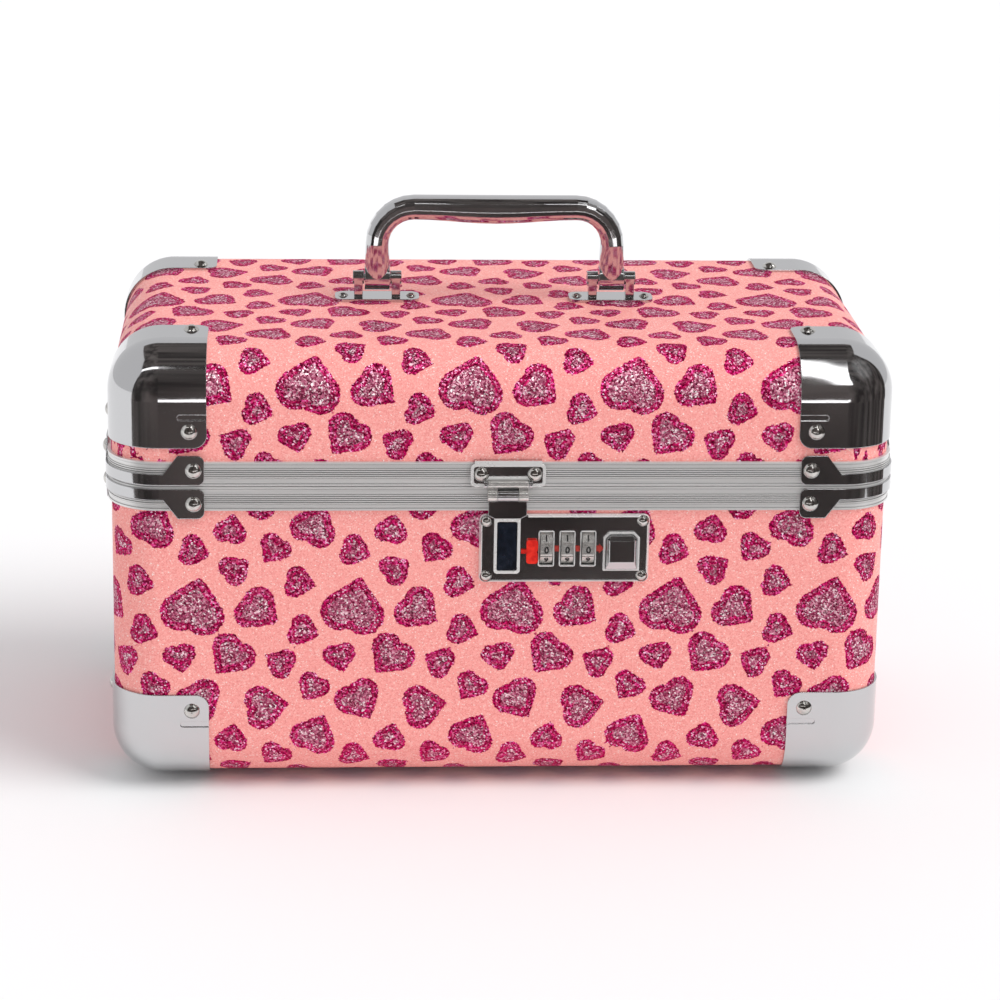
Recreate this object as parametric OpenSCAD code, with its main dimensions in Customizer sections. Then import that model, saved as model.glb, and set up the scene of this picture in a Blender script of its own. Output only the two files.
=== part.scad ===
// Makeup train case. A rounded board box with a printed covering and a lid hinged at the back,
// reeded aluminium rim frames, chrome corner caps and clips, a swing handle, a jointed hasp over
// a three-dial lock, a lid mirror, and two trays that the opening lid lifts on steel arms.
// X runs to the right, Y to the back and Z up. The feet stand on z = 0.

/* [Case] */
// Width over the covering
case_w = 298; // [280:1:330]
// Depth over the covering
case_d = 166; // [162:1:190]
// Height of the body from the underside of its covering to the seam
body_h = 121; // [110:1:140]
// Height of the lid from the seam to the top of its covering
lid_h = 52; // [48:1:60]
// Radius of every outer edge and corner
edge_r = 19; // [16:0.5:20]
// Thickness of the printed covering
cover_t = 0.8; // [0.5:0.1:1.2]
// Thickness of the lid board
lid_board_t = 2.6; // [2.2:0.1:3.2]
// Thickness of the lining
lining_t = 0.6; // [0.4:0.1:0.8]
// Height of the rubber feet
foot_h = 3.6; // [3.2:0.1:6]
// Diameter of the rubber feet
foot_d = 14; // [10:0.5:18]
// Distance of the feet from the sides
foot_in_x = 60; // [50:1:80]
// Distance of the feet from the front and the back
foot_in_y = 48; // [46:1:60]

/* [Rim frames] */
// Thickness of the aluminium
frame_t = 1.1; // [0.8:0.1:1.3]
// Height of each outer flange
frame_h = 9.4; // [9:0.1:11]
// Height of each inner flange
frame_inner_h = 5; // [4:0.1:5.2]
// Height of the body frame's lip above the seam
lip_h = 2.5; // [1.5:0.1:3]
// Side clearance between the lip and the lid frame
lip_gap = 0.4; // [0.3:0.05:0.8]
// Opening between the closed frames
seam_gap = 0.3; // [0.2:0.05:0.5]
// Number of reeds on each flange
reeds = 5; // [3:1:5]
// Width of one reed
reed_w = 0.45; // [0.3:0.05:0.5]
// Distance between reeds
reed_pitch = 0.8; // [0.7:0.05:0.9]
// Distance of the middle reed from the seam
reed_mid = 5; // [4.5:0.1:5.5]
// Width of the bead along each edge of a flange
bead_w = 0.8; // [0.5:0.1:1]
// Height of one reed
reed_h = 0.25; // [0.15:0.05:0.35]

/* [Corner caps and clips] */
// Thickness of the caps
cap_t = 1; // [0.7:0.1:1.2]
// Reach of each cap along the edges
cap_reach = 37; // [34:0.5:40]
// Radius of a cap's free corners
cap_corner_r = 5; // [3:0.5:6]
// Distance of a cap's rivets from the edges
cap_rivet_in = 30.5; // [28:0.5:31]
// Length of the pressed groove beside each wall rivet
groove_l = 11; // [8:0.5:12]
// Width of the pressed groove
groove_w = 2.2; // [1.5:0.1:2.4]
// Distance of the pressed groove from the top or bottom edge
groove_in = 25; // [24:0.5:25.5]
// Depth of the pressed groove
groove_deep = 0.4; // [0.2:0.1:0.5]
// Thickness of the seam clips
clip_t = 0.8; // [0.6:0.1:1]
// Length of a clip's plate beyond the corner
clip_reach = 17; // [15:0.5:20]
// Height of a clip's plate
clip_h = 11.6; // [11:0.1:13]
// Height of the band round the corner
clip_band_h = 4.3; // [3.5:0.1:5]
// Distance of a clip from the seam
clip_up = 0.8; // [0.5:0.1:1.2]
// Radius of a clip's free corners
clip_r = 2.6; // [1.5:0.1:3.5]

/* [Rivets] */
// Head diameter of the corner rivets
rivet_d = 6.2; // [5.5:0.1:6.6]
// Head diameter of the small rivets on the lock and hinges
small_rivet_d = 4.4; // [4:0.1:4.8]
// Diameter of the rivet heads on the hasp plate
hasp_rivet_d = 5.6; // [4.4:0.2:5.8]
// Shank diameter of every rivet
shank_d = 2.6; // [2:0.1:3]
// Radial clearance of a shank in its hole
shank_gap = 0.1; // [0.05:0.05:0.15]

/* [Handle] */
// Distance between the middles of the legs
handle_span = 93.5; // [88:0.5:110]
// Height of the handle above the lid
handle_h = 42; // [38:0.5:48]
// Width of a leg
leg_w = 9.9; // [8:0.1:11]
// Thickness of the grip at its ends
grip_end_t = 9.3; // [7:0.1:9.5]
// Thickness of the grip at its middle
grip_mid_t = 11; // [10:0.1:13]
// Depth of the grip, front to back
grip_deep = 13; // [11:0.5:15]
// Radius of the bends, to the middle of the grip
bend_r = 14.5; // [11:0.5:15]
// Height of the pivot above the lid
pivot_h = 8.7; // [8.4:0.1:10]
// Diameter of the eye at the foot of a leg
eye_d = 10; // [9:0.1:10.6]
// Diameter of the pivot pins
handle_pin_d = 2.8; // [2:0.1:3.2]
// Length of a bracket's base plate
bracket_l = 33.5; // [33:0.5:38]
// Depth of a bracket's base plate
bracket_deep = 13.5; // [10:0.5:14]
// Thickness of a bracket's base plate
bracket_t = 1.3; // [1:0.1:1.8]
// Width of a bracket's barrel
barrel_w = 4.4; // [3.6:0.1:4.6]
// Diameter of a bracket's barrel
barrel_d = 5.4; // [5:0.1:6.5]
// Side clearance between a leg and a barrel
leg_gap = 0.3; // [0.2:0.05:0.5]

/* [Hinges] */
// Distance of each hinge from the middle of the case
hinge_x = 88; // [60:1:90]
// Width of a hinge
hinge_w = 32; // [28:1:36]
// Thickness of a hinge leaf
leaf_t = 1.2; // [1:0.1:1.4]
// Height of a hinge leaf from the seam
leaf_h = 9; // [8.7:0.1:9.4]
// Diameter of the knuckles
knuckle_d = 4.8; // [4.4:0.1:5.4]
// Diameter of the hinge pins
hinge_pin_d = 2.4; // [2:0.1:2.8]

/* [Hasp] */
// Place of the hasp to the right of the middle
hasp_x = 1.5; // [0:0.5:3]
// Width of the plate on the lid frame
hasp_plate_w = 28.5; // [27:0.5:31]
// Thickness of the hasp's plates
hasp_t = 1.4; // [1:0.1:1.6]
// Width of the barrels
hasp_barrel_w = 15.4; // [14:0.2:16]
// Width of the middle knuckle
hasp_knuckle_w = 7.8; // [7:0.2:8.4]
// Diameter of the upper barrel
upper_barrel_d = 3.1; // [2.8:0.1:3.4]
// Diameter of the lower barrel
lower_barrel_d = 4.2; // [3.8:0.1:4.4]
// Diameter of the hasp's pins
hasp_pin_d = 1.4; // [1:0.1:1.6]
// Height of the upper barrel above the seam
upper_axis_up = 1.5; // [1.3:0.1:2]
// Depth of the lower barrel below the seam
lower_axis_down = 2.8; // [2.6:0.1:3.2]
// Width of the tongue that lies on the lock
tongue_w = 10; // [9:0.5:10.5]
// Depth of the tongue's end below the seam
tongue_down = 34.2; // [33.5:0.1:35]
// Width of the lug that enters the lock
lug_w = 2.4; // [1.8:0.1:3]
// Height of the lug
lug_h = 2.4; // [1.8:0.1:3]
// Length of the lug
lug_l = 2.4; // [2:0.1:2.5]

/* [Lock] */
// Width of the lock plate
lock_w = 65; // [64:0.5:68]
// Height of the lock plate
lock_h = 27.4; // [27:0.2:30]
// Place of the lock plate's middle to the right of the middle of the case
lock_x = 23.5; // [22:0.5:25]
// Distance of the lock plate below the seam
lock_down = 11; // [10.6:0.1:12]
// Thickness of the lock plate
lock_t = 1.2; // [1:0.1:1.3]
// Width of the lock plate's rim
lock_rim_w = 1; // [0.8:0.1:1.1]
// Width of the slope on the outside of the rim
lock_slope_w = 0.8; // [0.4:0.1:0.8]
// Height of the lock plate's rim
lock_rim_h = 0.8; // [0.5:0.1:1]
// Corner radius of the lock plate
lock_r = 2.4; // [1.5:0.1:3]
// Diameter of a dial
dial_d = 15.2; // [14.8:0.1:15.4]
// Width of a dial
dial_w = 4.6; // [4.2:0.1:4.8]
// Distance between dials
dial_pitch = 8; // [7.8:0.1:8.2]
// Place of the middle dial from the middle of the lock plate
dial_x = 1.1; // [0.8:0.1:1.4]
// Depth of the dial axle behind the plate's face
dial_deep = 5.2; // [5.1:0.1:5.4]
// Depth of the flats on a dial
dial_flat = 0.3; // [0.1:0.05:0.35]
// Diameter of the dial axle
axle_d = 3; // [2.5:0.1:3.5]
// Width of the button
button_w = 11.8; // [11:0.2:12]
// Height of the button
button_h = 13.4; // [12.6:0.2:13.6]
// Place of the button from the middle of the lock plate
button_x = 21.8; // [21.5:0.1:22]
// Height of the button above the plate
button_out = 4.2; // [3.6:0.1:4.8]
// Cut of the button's upper corners
button_corner = 1.6; // [1:0.1:2.2]
// Height of the bevel along the button's lower edge
button_bevel = 3.4; // [2:0.1:4]
// Travel of the button
button_travel = 2; // [1:0.1:2]
// Width of the rim round each dial window
window_rim_w = 0.4; // [0.3:0.05:0.5]
// Height of the rim round each dial window
window_rim_h = 0.5; // [0.3:0.1:0.7]
// Width of the reset lever
lever_w = 4.4; // [4:0.1:4.6]
// Height of the reset lever
lever_h = 9.3; // [8.5:0.1:9.6]
// Travel of the reset lever
lever_travel = 2; // [1:0.1:2.2]

/* [Trays] */
// Height of each tray
tray_h = 32; // [26:1:32]
// Wall thickness of the trays
tray_t = 1.4; // [1.2:0.1:2]
// Plan radius of a tray's corners
tray_r = 8; // [5:0.5:12]
// Gap between the two trays
tray_gap = 4; // [3:0.5:6]
// Clearance of the upper tray's stud heads above its floor
stud_floor_gap = 0.4; // [0.3:0.1:1]
// Depth of the back row of compartments
back_row = 52; // [48:1:55]
// Distance of the trays' backs in front of the hinge axis
tray_back = 40; // [39:0.5:44]
// Distance of the trays' fronts from the inside of the case front
tray_front_gap = 14; // [13:0.5:18]
// Width of the eyes at the ends and the elbow of an arm
arm_w = 9; // [8:0.5:9.5]
// Step from an eye down to the bar on each side
arm_shoulder = 0.9; // [0.4:0.1:1.2]
// Thickness of the arms
arm_t = 1.2; // [1:0.1:1.4]
// Diameter of the tray pivots
tray_pin_d = 4; // [3:0.1:4.4]
// Lid pivot in front of the hinge axis
lid_pivot_fwd = 69.5; // [67:0.5:71]
// Lid pivot above the seam
lid_pivot_up = 8; // [7:0.5:9]
// Wall pivot in front of the hinge axis
wall_pivot_fwd = 36; // [35:0.5:38]
// Wall pivot below the seam
wall_pivot_down = 16; // [15.5:0.5:18]
// Width of the lid mirror
mirror_w = 200; // [160:5:220]
// Depth of the lid mirror
mirror_d = 104; // [80:2:106]
// Thickness of the lid mirror
mirror_t = 2; // [1.5:0.1:3]

/* [Hidden] */
$fn = 48;

// Levels
seam_z = foot_h + body_h;
top_z = seam_z + lid_h;
front_y = -case_d / 2;
back_y = case_d / 2;

// Wall layers, as distances inwards from the face of the covering
body_board_t = lid_board_t + frame_t + lip_gap;
lid_board_in = cover_t + lid_board_t;
lid_in = lid_board_in + lining_t;
body_board_in = cover_t + body_board_t;
body_in = body_board_in + lining_t;
panel_gap = 0.1;
panel_rim_h = body_h - frame_t - panel_gap;
lid_rim_h = lid_h - frame_t - seam_gap - panel_gap;
shank_r = shank_d / 2;
hole_r = shank_r + shank_gap;
cut = 1;
fit = 0.02;
run = 0.05;

// Back hinge axis
knuckle_r = knuckle_d / 2;
knuckle_gap = 0.2;
hinge_y = back_y + frame_t + knuckle_gap + knuckle_r;
hinge_part = 0.3;

// Hasp, lock and their depths in front of the covering
face_y = front_y - frame_t;
hasp_gap = 0.25;
upper_axis_y = face_y - hasp_gap - upper_barrel_d / 2;
lower_axis_y = face_y - hasp_gap - lower_barrel_d / 2;
upper_axis_z = seam_z + upper_axis_up;
lower_axis_z = seam_z - lower_axis_down;
lock_face_y = front_y - lock_t;
tongue_gap = 0.3;
tongue_back_y = lock_face_y - tongue_gap;
lock_z = seam_z - lock_down - lock_h / 2;
lock_rivet_edge = 0.5;
lock_rivet_in = small_rivet_d / 2 + lock_rivet_edge;
head_seat_gap = 0.1;
dial_y = lock_face_y + dial_deep;
window_gap = 0.3;
window_half = 6.7;
lock_case_w = 52.5;
lock_case_h = 22.6;
lock_case_x = lock_x + 0.3;
lock_case_t = 1;
lock_case_deep = dial_y + dial_d / 2 + 1 + lock_case_t - front_y;
lock_cut_gap = 0.2;
button_gap = 0.2;
bezel_w = 0.8;
bezel_h = 1;
lug_z = seam_z - tongue_down + 0.3;
lug_slot_gap = 0.4;
lug_slot_top = seam_z - lock_down - 2.6;
bolt_t = 1.5;
bolt_h = 1.8;
bolt_tab = [6.5, 4];
bolt_y = front_y + 0.3;
bolt_z = lock_z - lock_case_h / 2 + lock_case_t + 0.3;

// The case is moved so that the origin lies under the middle of everything it carries
front_out = front_y - lock_t - button_out;
back_out = hinge_y + knuckle_r;
shift_y = -(front_out + back_out) / 2;

// Side stack, from the lining inwards
wall_x = case_w / 2 - body_in;
stud_r = tray_pin_d / 2;
stud_head_r = stud_r + 1.2;
plate_t = 1.2;
wall_plate_x = wall_x - plate_t;
arm_gap = 0.3;
arm_x = wall_plate_x - arm_gap - arm_t;
stud_head_t = 0.5;
head_gap = 0.1;
tray_x = arm_x - head_gap - stud_head_t - arm_gap;
lid_plate_x = case_w / 2 - lid_in - plate_t;

// Tray linkage in side view: [in front of the hinge axis, above the seam]
wall_pivot = [wall_pivot_fwd, -wall_pivot_down];
lid_pivot = [lid_pivot_fwd, lid_pivot_up];
elbow_reach = [34, -12];
short_offset = [7.5, -14];
upper_pivot = wall_pivot + lid_pivot;
elbow = wall_pivot + elbow_reach;
short_wall_pivot = wall_pivot + short_offset;
short_tray_pivot = elbow + short_offset;
tray_front = case_d + hinge_y - back_y - body_in - tray_front_gap;
upper_floor = upper_pivot[1] - stud_head_r - stud_floor_gap - tray_t;
lower_floor = upper_floor - tray_gap - tray_h;
short_arm_w = arm_w - 2;

// ---------------------------------------------------------------- helpers

module placed() {
    translate([0, shift_y, 0]) children();
}

// Sweeps a section round the plan of the case. Its x is counted from the corner axes outwards.
module around_case() {
    half_w = case_w / 2 - edge_r;
    half_d = case_d / 2 - edge_r;
    for (k = [0:3]) {
        side = k % 2 == 0 ? half_w : half_d;
        run_l = k % 2 == 0 ? 2 * half_d : 2 * half_w;
        sx = k == 0 || k == 3 ? 1 : -1;
        sy = k < 2 ? 1 : -1;
        translate([sx * half_w, sy * half_d, 0])
            rotate([0, 0, 90 * k]) rotate_extrude(angle = 90) children();
        rotate([0, 0, 90 * k]) translate([side, 0, 0])
            rotate([90, 0, 0]) linear_extrude(run_l, center = true) children();
    }
}

// Quarter of a ring, below and to the right of its centre
module quarter_ring(outer, inner) {
    intersection() {
        difference() {
            circle(r = outer);
            circle(r = inner);
        }
        translate([0, -outer]) square(outer);
    }
}

// One layer of a rounded tub that is open at the top, between two depths in the wall
module tub(from, to, rim_h) {
    around_case() {
        translate([0, edge_r]) quarter_ring(edge_r - from, edge_r - to);
        translate([edge_r - to, edge_r]) square([to - from, rim_h - edge_r]);
    }
    translate([edge_r - case_w / 2, edge_r - case_d / 2, from])
        cube([case_w - 2 * edge_r, case_d - 2 * edge_r, to - from]);
}

module in_body() {
    placed() translate([0, 0, foot_h]) children();
}

// The lid is drawn like the body, mouth up, and turned over
module in_lid() {
    placed() translate([0, 0, top_z]) mirror([0, 0, 1]) children();
}

// Repeats a part at the four plan corners, with its axes pointing into the case
module at_corners() {
    for (sx = [-1, 1], sy = [-1, 1])
        translate([sx * case_w / 2, sy * case_d / 2, 0])
            scale([-sx, -sy, 1]) children();
}

module at_both_sides() {
    children();
    mirror([1, 0, 0]) children();
}

// Turns +Z to the front
module to_front() {
    rotate([90, 0, 0]) children();
}

module to_back() {
    rotate([-90, 0, 0]) children();
}

// Turns a side view [y, z] into the YZ plane and gives it a thickness towards +X
module side_plate(x, t) {
    translate([x, 0, 0]) rotate([90, 0, 90]) linear_extrude(t) children();
}

function side_point(p) = [hinge_y - p[0], seam_z + p[1]];

module along_x(x, y, z, l, d) {
    translate([x, y, z]) rotate([0, 90, 0]) cylinder(d = d, h = l);
}

// Flat bar with a wider round eye at each point of a side view
module link(points, eye_w) {
    bar_w = eye_w - 2 * arm_shoulder;
    for (p = points) translate(p) circle(d = eye_w);
    for (i = [0:len(points) - 2]) {
        d = points[i + 1] - points[i];
        translate(points[i]) rotate(atan2(d[1], d[0]))
            translate([0, -bar_w / 2]) square([norm(d), bar_w]);
    }
}

module round_rect(w, h, r) {
    translate([-w / 2 + r, -h / 2]) square([w - 2 * r, h]);
    translate([-w / 2, -h / 2 + r]) square([w, h - 2 * r]);
    for (sx = [-1, 1], sy = [-1, 1])
        translate([sx * (w / 2 - r), sy * (h / 2 - r)]) circle(r = r);
}

// Rivet with a domed head above its seat and a shank below
module rivet(head_d, shank_l) {
    dome_h = head_d * 0.3;
    ball_r = (pow(head_d / 2, 2) + pow(dome_h, 2)) / (2 * dome_h);
    rotate_extrude() {
        intersection() {
            translate([0, dome_h - ball_r]) circle(r = ball_r);
            square([head_d, head_d]);
        }
        translate([0, -shank_l]) square([shank_r, shank_l]);
    }
}

module rivet_hole(deep) {
    translate([0, 0, -deep]) cylinder(r = hole_r, h = deep + cut);
}

// ---------------------------------------------------------------- corner caps

module cap_tab() {
    flat = cap_reach - edge_r;
    square([flat - cap_corner_r, flat]);
    square([flat, flat - cap_corner_r]);
    translate([flat - cap_corner_r, flat - cap_corner_r]) circle(r = cap_corner_r);
}

module cap_groove() {
    half = groove_w / 2;
    translate([cap_reach - groove_l + half, groove_in]) {
        circle(r = half);
        translate([0, -half]) square([groove_l, groove_w]);
    }
}

module corner_cap() {
    arm = cap_reach - edge_r;
    outer = edge_r + cap_t;
    difference() {
        union() {
            translate([edge_r, edge_r, edge_r]) rotate([0, 0, 180])
                rotate_extrude(angle = 90) quarter_ring(outer, edge_r);
            translate([edge_r, edge_r, edge_r])
                linear_extrude(arm) rotate(-90) quarter_ring(outer, edge_r);
            translate([edge_r, edge_r, edge_r]) rotate([90, 0, 90])
                linear_extrude(arm) rotate(-90) quarter_ring(outer, edge_r);
            translate([edge_r, cap_reach, edge_r]) rotate([90, 0, 0])
                linear_extrude(arm) rotate(-90) quarter_ring(outer, edge_r);
            translate([edge_r, edge_r, -cap_t]) linear_extrude(cap_t) cap_tab();
            translate([edge_r, 0, edge_r]) rotate([90, 0, 0]) linear_extrude(cap_t) cap_tab();
            translate([-cap_t, edge_r, edge_r]) rotate([90, 0, 90])
                linear_extrude(cap_t) cap_tab();
        }
        cap_rivet_places() rivet_hole(cap_t + cut);
        translate([0, groove_deep - cap_t, 0]) rotate([90, 0, 0])
            linear_extrude(cut) cap_groove();
        translate([groove_deep - cap_t, 0, 0]) mirror([1, 0, 0]) rotate([90, 0, 90])
            linear_extrude(cut) cap_groove();
    }
}

// Three rivets to a cap, seated on its outer faces
module cap_rivet_places() {
    a = cap_rivet_in;
    translate([a, -cap_t, a]) rotate([90, 0, 0]) children();
    translate([-cap_t, a, a]) rotate([0, -90, 0]) children();
    translate([a, a, -cap_t]) rotate([180, 0, 0]) children();
}

// ---------------------------------------------------------------- rim frames and clips

// A group of reeds between plain bands, with a bead along each edge
module reed_row() {
    for (i = [0:reeds - 1])
        translate([edge_r + frame_t, reed_mid + (i - (reeds - 1) / 2) * reed_pitch - reed_w / 2])
            square([reed_h, reed_w]);
    for (up = [0, frame_h - bead_w])
        translate([edge_r + frame_t, up]) square([reed_h, bead_w]);
}

module frame_section(inner) {
    translate([edge_r, 0]) square([frame_t, frame_h]);
    reed_row();
    translate([edge_r - inner - frame_t, 0]) square([inner + 2 * frame_t, frame_t]);
    translate([edge_r - inner - frame_t, 0]) square([frame_t, frame_inner_h]);
}

// Clip outline from the corner axis along the wall, with its height counted from the seam
module clip_outline() {
    slope_from = 1.5;
    slope_to = 7;
    polygon([[0, clip_up], [slope_to, clip_up], [slope_to, clip_up + clip_h],
             [slope_from, clip_up + clip_band_h], [0, clip_up + clip_band_h]]);
    plate_l = clip_reach - slope_to;
    translate([slope_to, clip_up]) {
        square([plate_l - clip_r, clip_h]);
        translate([0, clip_r]) square([plate_l, clip_h - 2 * clip_r]);
        for (v = [clip_r, clip_h - clip_r])
            translate([plate_l - clip_r, v]) circle(r = clip_r);
    }
}

clip_out = frame_t + reed_h;
clip_rivet_in = edge_r + clip_reach - 4;
clip_rivet_up = clip_up + clip_h / 2;

module clip_rivet_places() {
    translate([clip_rivet_in, -clip_out - clip_t, clip_rivet_up])
        rotate([90, 0, 0]) children();
    translate([-clip_out - clip_t, clip_rivet_in, clip_rivet_up])
        rotate([0, -90, 0]) children();
}

module corner_clip() {
    difference() {
        union() {
            translate([edge_r, -clip_out, 0]) rotate([90, 0, 0])
                linear_extrude(clip_t) clip_outline();
            translate([-clip_out - clip_t, edge_r, 0]) rotate([90, 0, 90])
                linear_extrude(clip_t) clip_outline();
            translate([edge_r, edge_r, 0]) rotate([0, 0, 180])
                rotate_extrude(angle = 90) translate([edge_r + clip_out, clip_up])
                    square([clip_t, clip_band_h]);
        }
        clip_rivet_places() rivet_hole(clip_t + cut);
    }
}

// Puts what is drawn upwards from the seam on the lid, or downwards on the body
module above_seam() {
    placed() translate([0, 0, seam_z]) children();
}

module below_seam() {
    placed() translate([0, 0, seam_z]) mirror([0, 0, 1]) children();
}

// Shank lengths: each ends just inside the board
function wall_shank(out, board_in) = out + board_in - 0.3;

// ---------------------------------------------------------------- body

module lock_rivet_places() {
    for (sx = [-1, 1], sz = [-1, 1])
        translate([lock_x + sx * (lock_w / 2 - lock_rivet_in), lock_face_y,
                   lock_z + sz * (lock_h / 2 - lock_rivet_in)]) to_front() children();
}

module lock_rivet_seats() {
    for (sx = [-1, 1], sz = [-1, 1])
        translate([lock_x + sx * (lock_w / 2 - lock_rivet_in),
                   lock_z + sz * (lock_h / 2 - lock_rivet_in)])
            circle(d = small_rivet_d + 2 * head_seat_gap);
}

module lock_cutout() {
    g = lock_cut_gap;
    translate([lock_case_x - lock_case_w / 2 - g, front_y - cut,
               lock_z - lock_case_h / 2 - g])
        cube([lock_case_w + 2 * g, body_in + 2 * cut + edge_r / 2, lock_case_h + 2 * g]);
}

module foot_places() {
    for (sx = [-1, 1], sy = [-1, 1])
        translate([sx * (case_w / 2 - foot_in_x), sy * (case_d / 2 - foot_in_y), 0])
            children();
}

foot_plug_r = 2.5;

// Everything that pierces the body's covering and board
module body_holes() {
    translate([0, 0, foot_h]) at_corners() cap_rivet_places() rivet_hole(body_board_in + 2);
    translate([0, 0, seam_z]) mirror([0, 0, 1]) at_corners()
        clip_rivet_places() rivet_hole(body_board_in + clip_out + clip_t);
    lock_rivet_places() rivet_hole(body_board_in + lock_t);
    lock_cutout();
    body_hinge_rivet_places() rivet_hole(body_board_in + leaf_t + clip_out);
    foot_places() cylinder(r = foot_plug_r + shank_gap, h = foot_h + body_board_in);
}

module body_covering() {
    color("lightpink") placed() difference() {
        translate([0, 0, foot_h]) tub(0, cover_t, panel_rim_h);
        body_holes();
    }
}

module body_board() {
    color("burlywood") placed() difference() {
        translate([0, 0, foot_h]) tub(cover_t, body_board_in, panel_rim_h);
        body_holes();
        at_both_sides() wall_rivet_places() rivet_hole(wall_rivet_l);
    }
}

module body_lining() {
    color("dimgray") placed() difference() {
        translate([0, 0, foot_h]) tub(body_board_in, body_in, panel_rim_h);
        lock_cutout();
        at_both_sides() wall_rivet_places() rivet_hole(wall_rivet_l);
    }
}

module body_frame() {
    color("silver") placed() difference() {
        union() {
            translate([0, 0, seam_z]) mirror([0, 0, 1])
                around_case() frame_section(body_in);
            translate([0, 0, seam_z]) around_case()
                translate([edge_r - body_in - frame_t, 0]) square([frame_t, lip_h]);
        }
        translate([0, 0, seam_z]) mirror([0, 0, 1]) at_corners()
            clip_rivet_places() rivet_hole(clip_out + clip_t + cut);
        body_hinge_rivet_places() rivet_hole(leaf_t + frame_t + cut);
        knuckle_space();
    }
}

module body_corner_caps() {
    color("gainsboro") in_body() at_corners() corner_cap();
}

module body_cap_rivets() {
    color("whitesmoke") in_body() at_corners() cap_rivet_places()
        rivet(rivet_d, wall_shank(cap_t, body_board_in));
}

module body_corner_clips() {
    color("gainsboro") below_seam() at_corners() corner_clip();
}

module body_clip_rivets() {
    color("whitesmoke") below_seam() at_corners() clip_rivet_places()
        rivet(rivet_d, wall_shank(clip_out + clip_t, body_board_in));
}

module feet() {
    color("black") placed() foot_places() rotate_extrude() {
        polygon([[0, 0], [foot_d / 2 - 0.8, 0], [foot_d / 2 - 0.2, 0.6],
                 [foot_d / 2, foot_h], [0, foot_h]]);
        translate([0, foot_h]) square([foot_plug_r, body_board_in - 0.3]);
    }
}

// ---------------------------------------------------------------- lock

// The plate's outline, drawn in by a margin
module lock_rect(inset) {
    translate([lock_x, lock_z])
        round_rect(lock_w - 2 * inset, lock_h - 2 * inset, lock_r - inset, $fn = 32);
}

// The button's outline, grown by a margin: its two upper corners are cut at 45 degrees
module button_outline(grown) {
    w = button_w / 2 + grown;
    h = button_h / 2 + grown;
    c = button_corner + grown * (2 - sqrt(2));
    polygon([[-w, -h], [w, -h], [w, h - c], [w - c, h], [c - w, h], [-w, h - c]]);
}

module lock_openings() {
    for (k = [-1:1])
        translate([lock_x + dial_x + k * dial_pitch, lock_z])
            square([dial_w + 2 * window_gap, 2 * window_half], center = true);
    translate([lock_x + button_x, button_z]) button_outline(button_gap);
    translate([hasp_x - lug_w / 2 - lug_slot_gap, lug_z - lug_slot_gap - 0.4])
        square([lug_w + 2 * lug_slot_gap, lug_slot_top - lug_z]);
    translate([lock_x + lever_x - lever_stem_w / 2 - 0.2,
               lever_z - lever_stem_h / 2 - 0.2])
        square([lever_stem_w + 0.4, lever_stem_h + lever_travel + 0.4]);
}

button_z = lock_z - 1;
lever_z = lock_z - 1;
lever_gap = 0.25;
lever_x = dial_x - dial_pitch - dial_w / 2 - window_gap - window_rim_w - lever_gap - lever_w / 2;
lever_stem_w = 2;
lever_stem_h = 4;
lever_arm = [3, 1.6];
lever_foot = [3.2, 6.8];
lever_foot_t = 1;

// A plate with a sloping rim that stands round its sunk face
module lock_blank() {
    skin = 0.01;
    difference() {
        hull() {
            linear_extrude(lock_t / 2) lock_rect(0);
            translate([0, 0, lock_t + lock_rim_h - skin]) linear_extrude(skin)
                lock_rect(lock_slope_w);
        }
        translate([0, 0, lock_t]) linear_extrude(lock_rim_h + cut) {
            lock_rect(lock_rim_w);
            translate([hasp_x - hasp_barrel_w / 2 - tongue_gap, lock_z])
                square([hasp_barrel_w + 2 * tongue_gap, lock_h]);
            lock_rivet_seats();
        }
        translate([0, 0, -cut]) linear_extrude(lock_t + 2 * cut) lock_openings();
    }
}

module lock_plate() {
    color("gainsboro") placed() difference() {
        translate([0, front_y, 0]) to_front() {
            lock_blank();
            translate([0, 0, lock_t]) linear_extrude(bezel_h) difference() {
                translate([lock_x + button_x, button_z]) button_outline(button_gap + bezel_w);
                lock_openings();
            }
            translate([0, 0, lock_t]) linear_extrude(window_rim_h) difference() {
                for (k = [-1:1])
                    translate([lock_x + dial_x + k * dial_pitch, lock_z])
                        round_rect(dial_w + 2 * (window_gap + window_rim_w),
                                   2 * (window_half + window_rim_w), 0.8);
                lock_openings();
            }
        }
        lock_rivet_places() rivet_hole(lock_t + cut);
    }
}

module lock_case() {
    w = lock_case_w;
    h = lock_case_h;
    t = lock_case_t;
    web_x = dial_pitch + dial_w / 2 + 0.9;
    color("lightgray") placed() difference() {
        union() {
            difference() {
                translate([lock_case_x - w / 2, front_y, lock_z - h / 2])
                    cube([w, lock_case_deep, h]);
                translate([lock_case_x - w / 2 + t, front_y - cut, lock_z - h / 2 + t])
                    cube([w - 2 * t, lock_case_deep + cut - t, h - 2 * t]);
            }
            for (s = [-1, 1])
                translate([lock_x + dial_x + s * web_x - t / 2, front_y + 2,
                           lock_z - h / 2 + 4.4])
                    cube([t, lock_case_deep - 2, h - 4.4]);
        }
        dial_axle_solid(axle_d + 2 * fit);
    }
}

module dial_axle_solid(d) {
    l = 2 * dial_pitch + dial_w + 3;
    along_x(lock_x + dial_x - l / 2, dial_y, lock_z, l, d);
}

module dial_axle() {
    color("silver") placed() dial_axle_solid(axle_d);
}

module lock_rivets() {
    color("whitesmoke") placed() lock_rivet_places()
        rivet(small_rivet_d, wall_shank(lock_t, body_board_in));
}

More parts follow.
